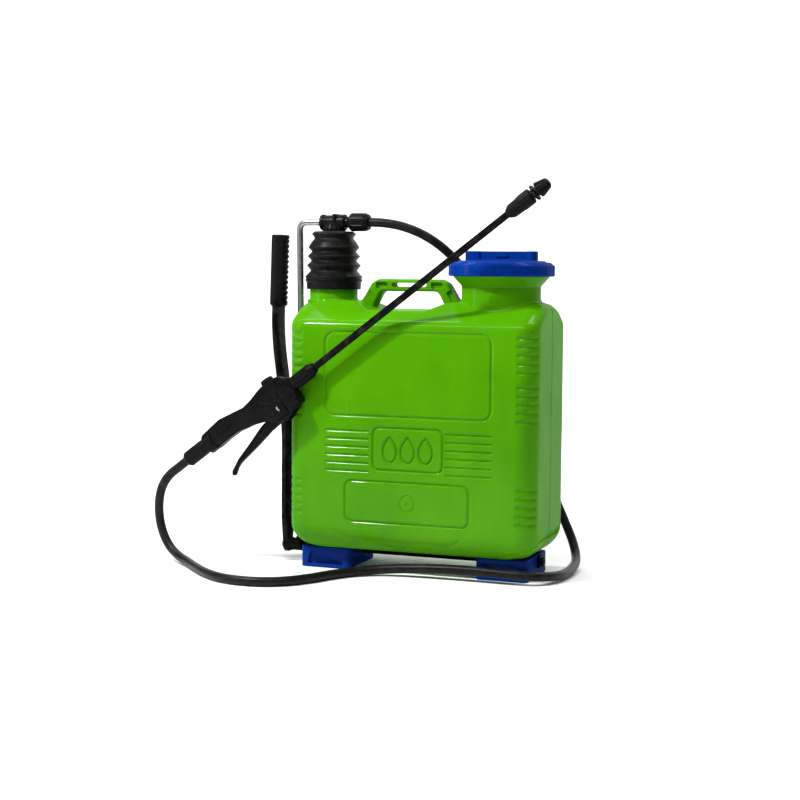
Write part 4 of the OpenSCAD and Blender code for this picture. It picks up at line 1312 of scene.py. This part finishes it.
def make_nozzle():
    gun_piece("nozzle_body_ribbed", [(4.9, 378, 0), (6.4, 378, 0.5), (9.6, 384, 2), (10.2, 398, 1),
                                     (10.2, 399.5, 0),
                                     (11, 400.5, 0.5), (11, 415.8, 0.6), (10.2, 417.6, 0.6),
                                     (8.4, 418.2, 0.5),
                                     (6.4, 418.6, 0), (6.4, 436, 0.5), (2.0, 436, 0), (2.0, 383, 0),
                                     (4.9, 383, 0)],
              "gun", "nozzle_body", 0.0, fluted(16, 0.045, 385, 415))
    gun_piece("lock_ring_star", [(6.45, 421.2, 0), (10.8, 421.2, 0.5), (11.3, 421.9, 0.4), (11.3, 424.2, 0.4),
                                 (10.8, 424.8, 0.5), (6.45, 424.8, 0)], "gun",
                                 "lock_ring", 0.0,
              fluted(8, 0.12, 420, 426))
    gun_piece("nozzle_tip_fluted", [(6.5, 428, 0), (10.4, 428, 0.7), (11.2, 429, 0.8), (10.4, 433, 2),
                                    (8.6, 440, 3),
                                    (7.6, 444, 1.2), (4.4, 446.6, 0.8), (1.0, 446.6, 0), (1.0, 437.2, 0),
                                    (6.5, 437.0, 0)],
              "nozzle_tip", "nozzle_tip", 0.0, fluted(12, 0.10, 430, 443, 1.5))


# ---------------------------------------------------------------- straps
STRAP_LEAN = math.radians(18)
STRAP_LENGTH = 252.0


def strap_place(side):
    turn = Matrix.Rotation(-side * STRAP_LEAN, 4, "Y")
    return Matrix.Translation((side * 36, TANK_Y + 3, 316)) @ turn


def make_straps():
    finish = finish_of("webbing", lambda: woven_webbing("strap_webbing", 2.2 * MM))
    thick = 1.5
    for side, name in ((1, "right_strap"), (-1, "left_strap")):
        half = size("strap_width") / 2
        rings = []
        for z in np.linspace(0, -STRAP_LENGTH, 90):
            wave = 0.25 * math.sin(z / 21)
            across = np.linspace(-half, half, 20)
            front = [(x, wave - thick / 2, z) for x in across]
            back = [(x, wave + thick / 2, z) for x in across[::-1]]
            rings.append(front + back)
        band = piece(name + "_band", moved(grid_form(rings), strap_place(side)), finish, "sprayer_body",
                     (name,), 50.0)
        2 * half * MM


def pad_height(x, z, half_x, half_z, crown):
    """Crowned cushion surface with two sewn channels."""
    a = np.clip(1 - (np.abs(x) / half_x) ** 3.5, 0, 1)
    b = np.clip(1 - (np.abs(z) / half_z) ** 7, 0, 1)
    channel = 1 - 0.42 * np.exp(-((np.abs(x) - half_x * 0.42) / 1.6) ** 2)
    return crown * (a * b) ** 0.5 * channel


def make_pads():
    finish = finish_of("padding", lambda: woven_webbing("pad_fabric", 1.3 * MM))
    half_x, half_z, thick = 29.0, 75.0, 13.0
    back_at, welt_at, front_at = 1.6, 2.4, 3.9
    for side, name in ((1, "right_pad"), (-1, "left_pad")):
        outline = soft_box(half_x, half_z, 20, 6)
        shells = []
        for share in np.linspace(1, 0, 26):
            grown = outline * share
            rise = pad_height(grown[:, 0], grown[:, 1], half_x, half_z, thick - 3.0)
            shells.append(np.stack([grown[:, 0], front_at + rise, grown[:, 1]], axis=1))
        back = []
        for share in np.linspace(0, 1, 8):
            grown = outline * share
            back.append(np.stack([grown[:, 0], np.full(len(grown), back_at), grown[:, 1]], axis=1))
        welt = [np.stack([outline[:, 0], np.full(len(outline), welt_at), outline[:, 1]], axis=1)]
        form = grid_form(np.array(back + welt + shells), caps=False)
        place = strap_place(side) @ Matrix.Translation((0, 0, -112))
        pad = piece(name + "_cushion", moved(form, place), finish, "sprayer_body", (name,), 60.0)


def make_strap_fittings():
    plate = slab(soft_box(65, 12, 6), 3.5, 1.2, 4)
    anchor = solid("strap_anchor_plate", moved(plate, upright((0, 87.5, 309))))
    slots = [moved(slab(soft_box(29, 14, 0.6), 1.5, 0.2, 2), upright((s * 36, 88.5, 303))) for s in (-1, 1)]
    combine(anchor, "DIFFERENCE", *slots)
    dress(anchor, black_skin(), "sprayer_body", ("strap_anchor",))
    forms = []
    for side in (-1, 1):
        bar = slab(soft_box(28, 10, 5), 3.2, 1.0, 4)
        frame_bar = solid("hook", moved(bar, upright((side * 114, 87.5, 74))))
        window = moved(slab(soft_box(21, 3, 1.5), 6, 0.4, 2), upright((side * 114, 87.5, 76)))
        combine(frame_bar, "DIFFERENCE", window)
        mesh = frame_bar.data
        places = np.array([v.co for v in mesh.vertices]) / MM
        forms.append((places, [tuple(p.vertices) for p in mesh.polygons]))
        bpy.data.objects.remove(frame_bar)
        bpy.data.meshes.remove(mesh)
    piece("strap_hook_pair", joined(*forms), black_skin(), "sprayer_body", ("strap_hooks",))


# ---------------------------------------------------------------- frame pieces that stay
def dress_frame_nodes():
    """Better finishes for the frame's own pieces."""
    plain_black = black_skin()
    steel = finish_of("plated", plated_steel)
    natural = finish_of("natural", natural_plastic)
    looks = {
        "foot_screws": steel, "pump_cylinder": natural, "foot_valve": plain_black, "suction_screen": natural,
        "filler_strainer": plain_black, "head_spigot": plain_black, "piston_tube": natural,
        "piston": plain_black, "piston_seal": rubber_skin(), "outlet_ball": steel,
        "lever_shaft": paint_skin(), "crank": paint_skin(), "shaft_clip": paint_skin(),
        "lever_screw": steel, "lid_gasket": rubber_skin(), "gun_barb": plain_black,
        "trigger_pin": plain_black, "lance_tube": finish_of("lance", lambda: black_paint("lance_paint")),
        "valve_stem": steel, "valve_seal": rubber_skin(), "valve_spring": steel,
    }
    for node, finish in looks.items():
        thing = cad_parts[node]
        for place in thing.material_slots:
            place.material = finish


# ---------------------------------------------------------------- operators
class SPRAYER_OT_stage(Operator):
    """Camera, lights and the paper floor"""
    bl_idname = "sprayer.stage"
    bl_label = "Stage"

    def execute(self, context):
        make_stage()
        return {"FINISHED"}


class SPRAYER_OT_hose(Operator):
    """Hose from the pump head round the tank to the gun"""
    bl_idname = "sprayer.hose"
    bl_label = "Hose"

    def execute(self, context):
        make_hose()
        return {"FINISHED"}


class SPRAYER_OT_tank(Operator):
    """Tank with its grooves, necks and carrying handle"""
    bl_idname = "sprayer.tank"
    bl_label = "Tank"

    def execute(self, context):
        make_tank()
        return {"FINISHED"}


class SPRAYER_OT_feet(Operator):
    """Two feet under the tank"""
    bl_idname = "sprayer.feet"
    bl_label = "Feet"

    def execute(self, context):
        make_feet()
        return {"FINISHED"}


class SPRAYER_OT_lid(Operator):
    """Screw lid with its grip bar"""
    bl_idname = "sprayer.lid"
    bl_label = "Lid"

    def execute(self, context):
        make_lid()
        return {"FINISHED"}


class SPRAYER_OT_pump(Operator):
    """Cuff, bellows, pump head, hose nut and connecting rod"""
    bl_idname = "sprayer.pump"
    bl_label = "Pump"

    def execute(self, context):
        make_cuff()
        make_bellows()
        make_pump_head()
        make_hose_nut()
        make_rod()
        return {"FINISHED"}


class SPRAYER_OT_lever(Operator):
    """Lever arm and its grip"""
    bl_idname = "sprayer.lever"
    bl_label = "Lever"

    def execute(self, context):
        make_lever_arm()
        make_lever_grip()
        return {"FINISHED"}


class SPRAYER_OT_gun(Operator):
    """Trigger gun with its nuts and cap"""
    bl_idname = "sprayer.gun"
    bl_label = "Gun"

    def execute(self, context):
        make_gun()
        make_trigger()
        make_gun_nuts()
        return {"FINISHED"}


class SPRAYER_OT_nozzle(Operator):
    """Nozzle body, lock ring and tip"""
    bl_idname = "sprayer.nozzle"
    bl_label = "Nozzle"

    def execute(self, context):
        make_nozzle()
        return {"FINISHED"}


class SPRAYER_OT_straps(Operator):
    """Straps, shoulder pads and their fittings"""
    bl_idname = "sprayer.straps"
    bl_label = "Straps"

    def execute(self, context):
        make_straps()
        make_pads()
        make_strap_fittings()
        return {"FINISHED"}


class SPRAYER_OT_finishes(Operator):
    """Finishes of the frame's own pieces"""
    bl_idname = "sprayer.finishes"
    bl_label = "Finishes"

    def execute(self, context):
        dress_frame_nodes()
        return {"FINISHED"}


STEPS = (SPRAYER_OT_stage, SPRAYER_OT_hose, SPRAYER_OT_tank, SPRAYER_OT_feet, SPRAYER_OT_lid, SPRAYER_OT_pump,
         SPRAYER_OT_lever, SPRAYER_OT_gun, SPRAYER_OT_nozzle, SPRAYER_OT_straps, SPRAYER_OT_finishes)


class SPRAYER_PT_panel(Panel):
    """Lists the steps that build the sprayer"""
    bl_idname = "SPRAYER_PT_panel"
    bl_label = "Knapsack sprayer"
    bl_space_type = "VIEW_3D"
    bl_region_type = "UI"
    bl_category = "Sprayer"

    def draw(self, context):
        for step in STEPS:
            self.layout.operator(step.bl_idname)


CLASSES = (SprayerSizes, SprayerColours, StudioSettings, *STEPS, SPRAYER_PT_panel)


def register():
    for cls in CLASSES:
        bpy.utils.register_class(cls)
    bpy.types.Scene.sprayer_sizes = PointerProperty(type=SprayerSizes)
    bpy.types.Scene.sprayer_colours = PointerProperty(type=SprayerColours)
    bpy.types.Scene.sprayer_studio = PointerProperty(type=StudioSettings)


def unregister():
    del bpy.types.Scene.sprayer_sizes
    del bpy.types.Scene.sprayer_colours
    del bpy.types.Scene.sprayer_studio
    for cls in reversed(CLASSES):
        bpy.utils.unregister_class(cls)


def main():
    register()
    for step in STEPS:
        group, name = step.bl_idname.split(".")
        getattr(getattr(bpy.ops, group), name)()


if __name__ == "__main__":
    main()
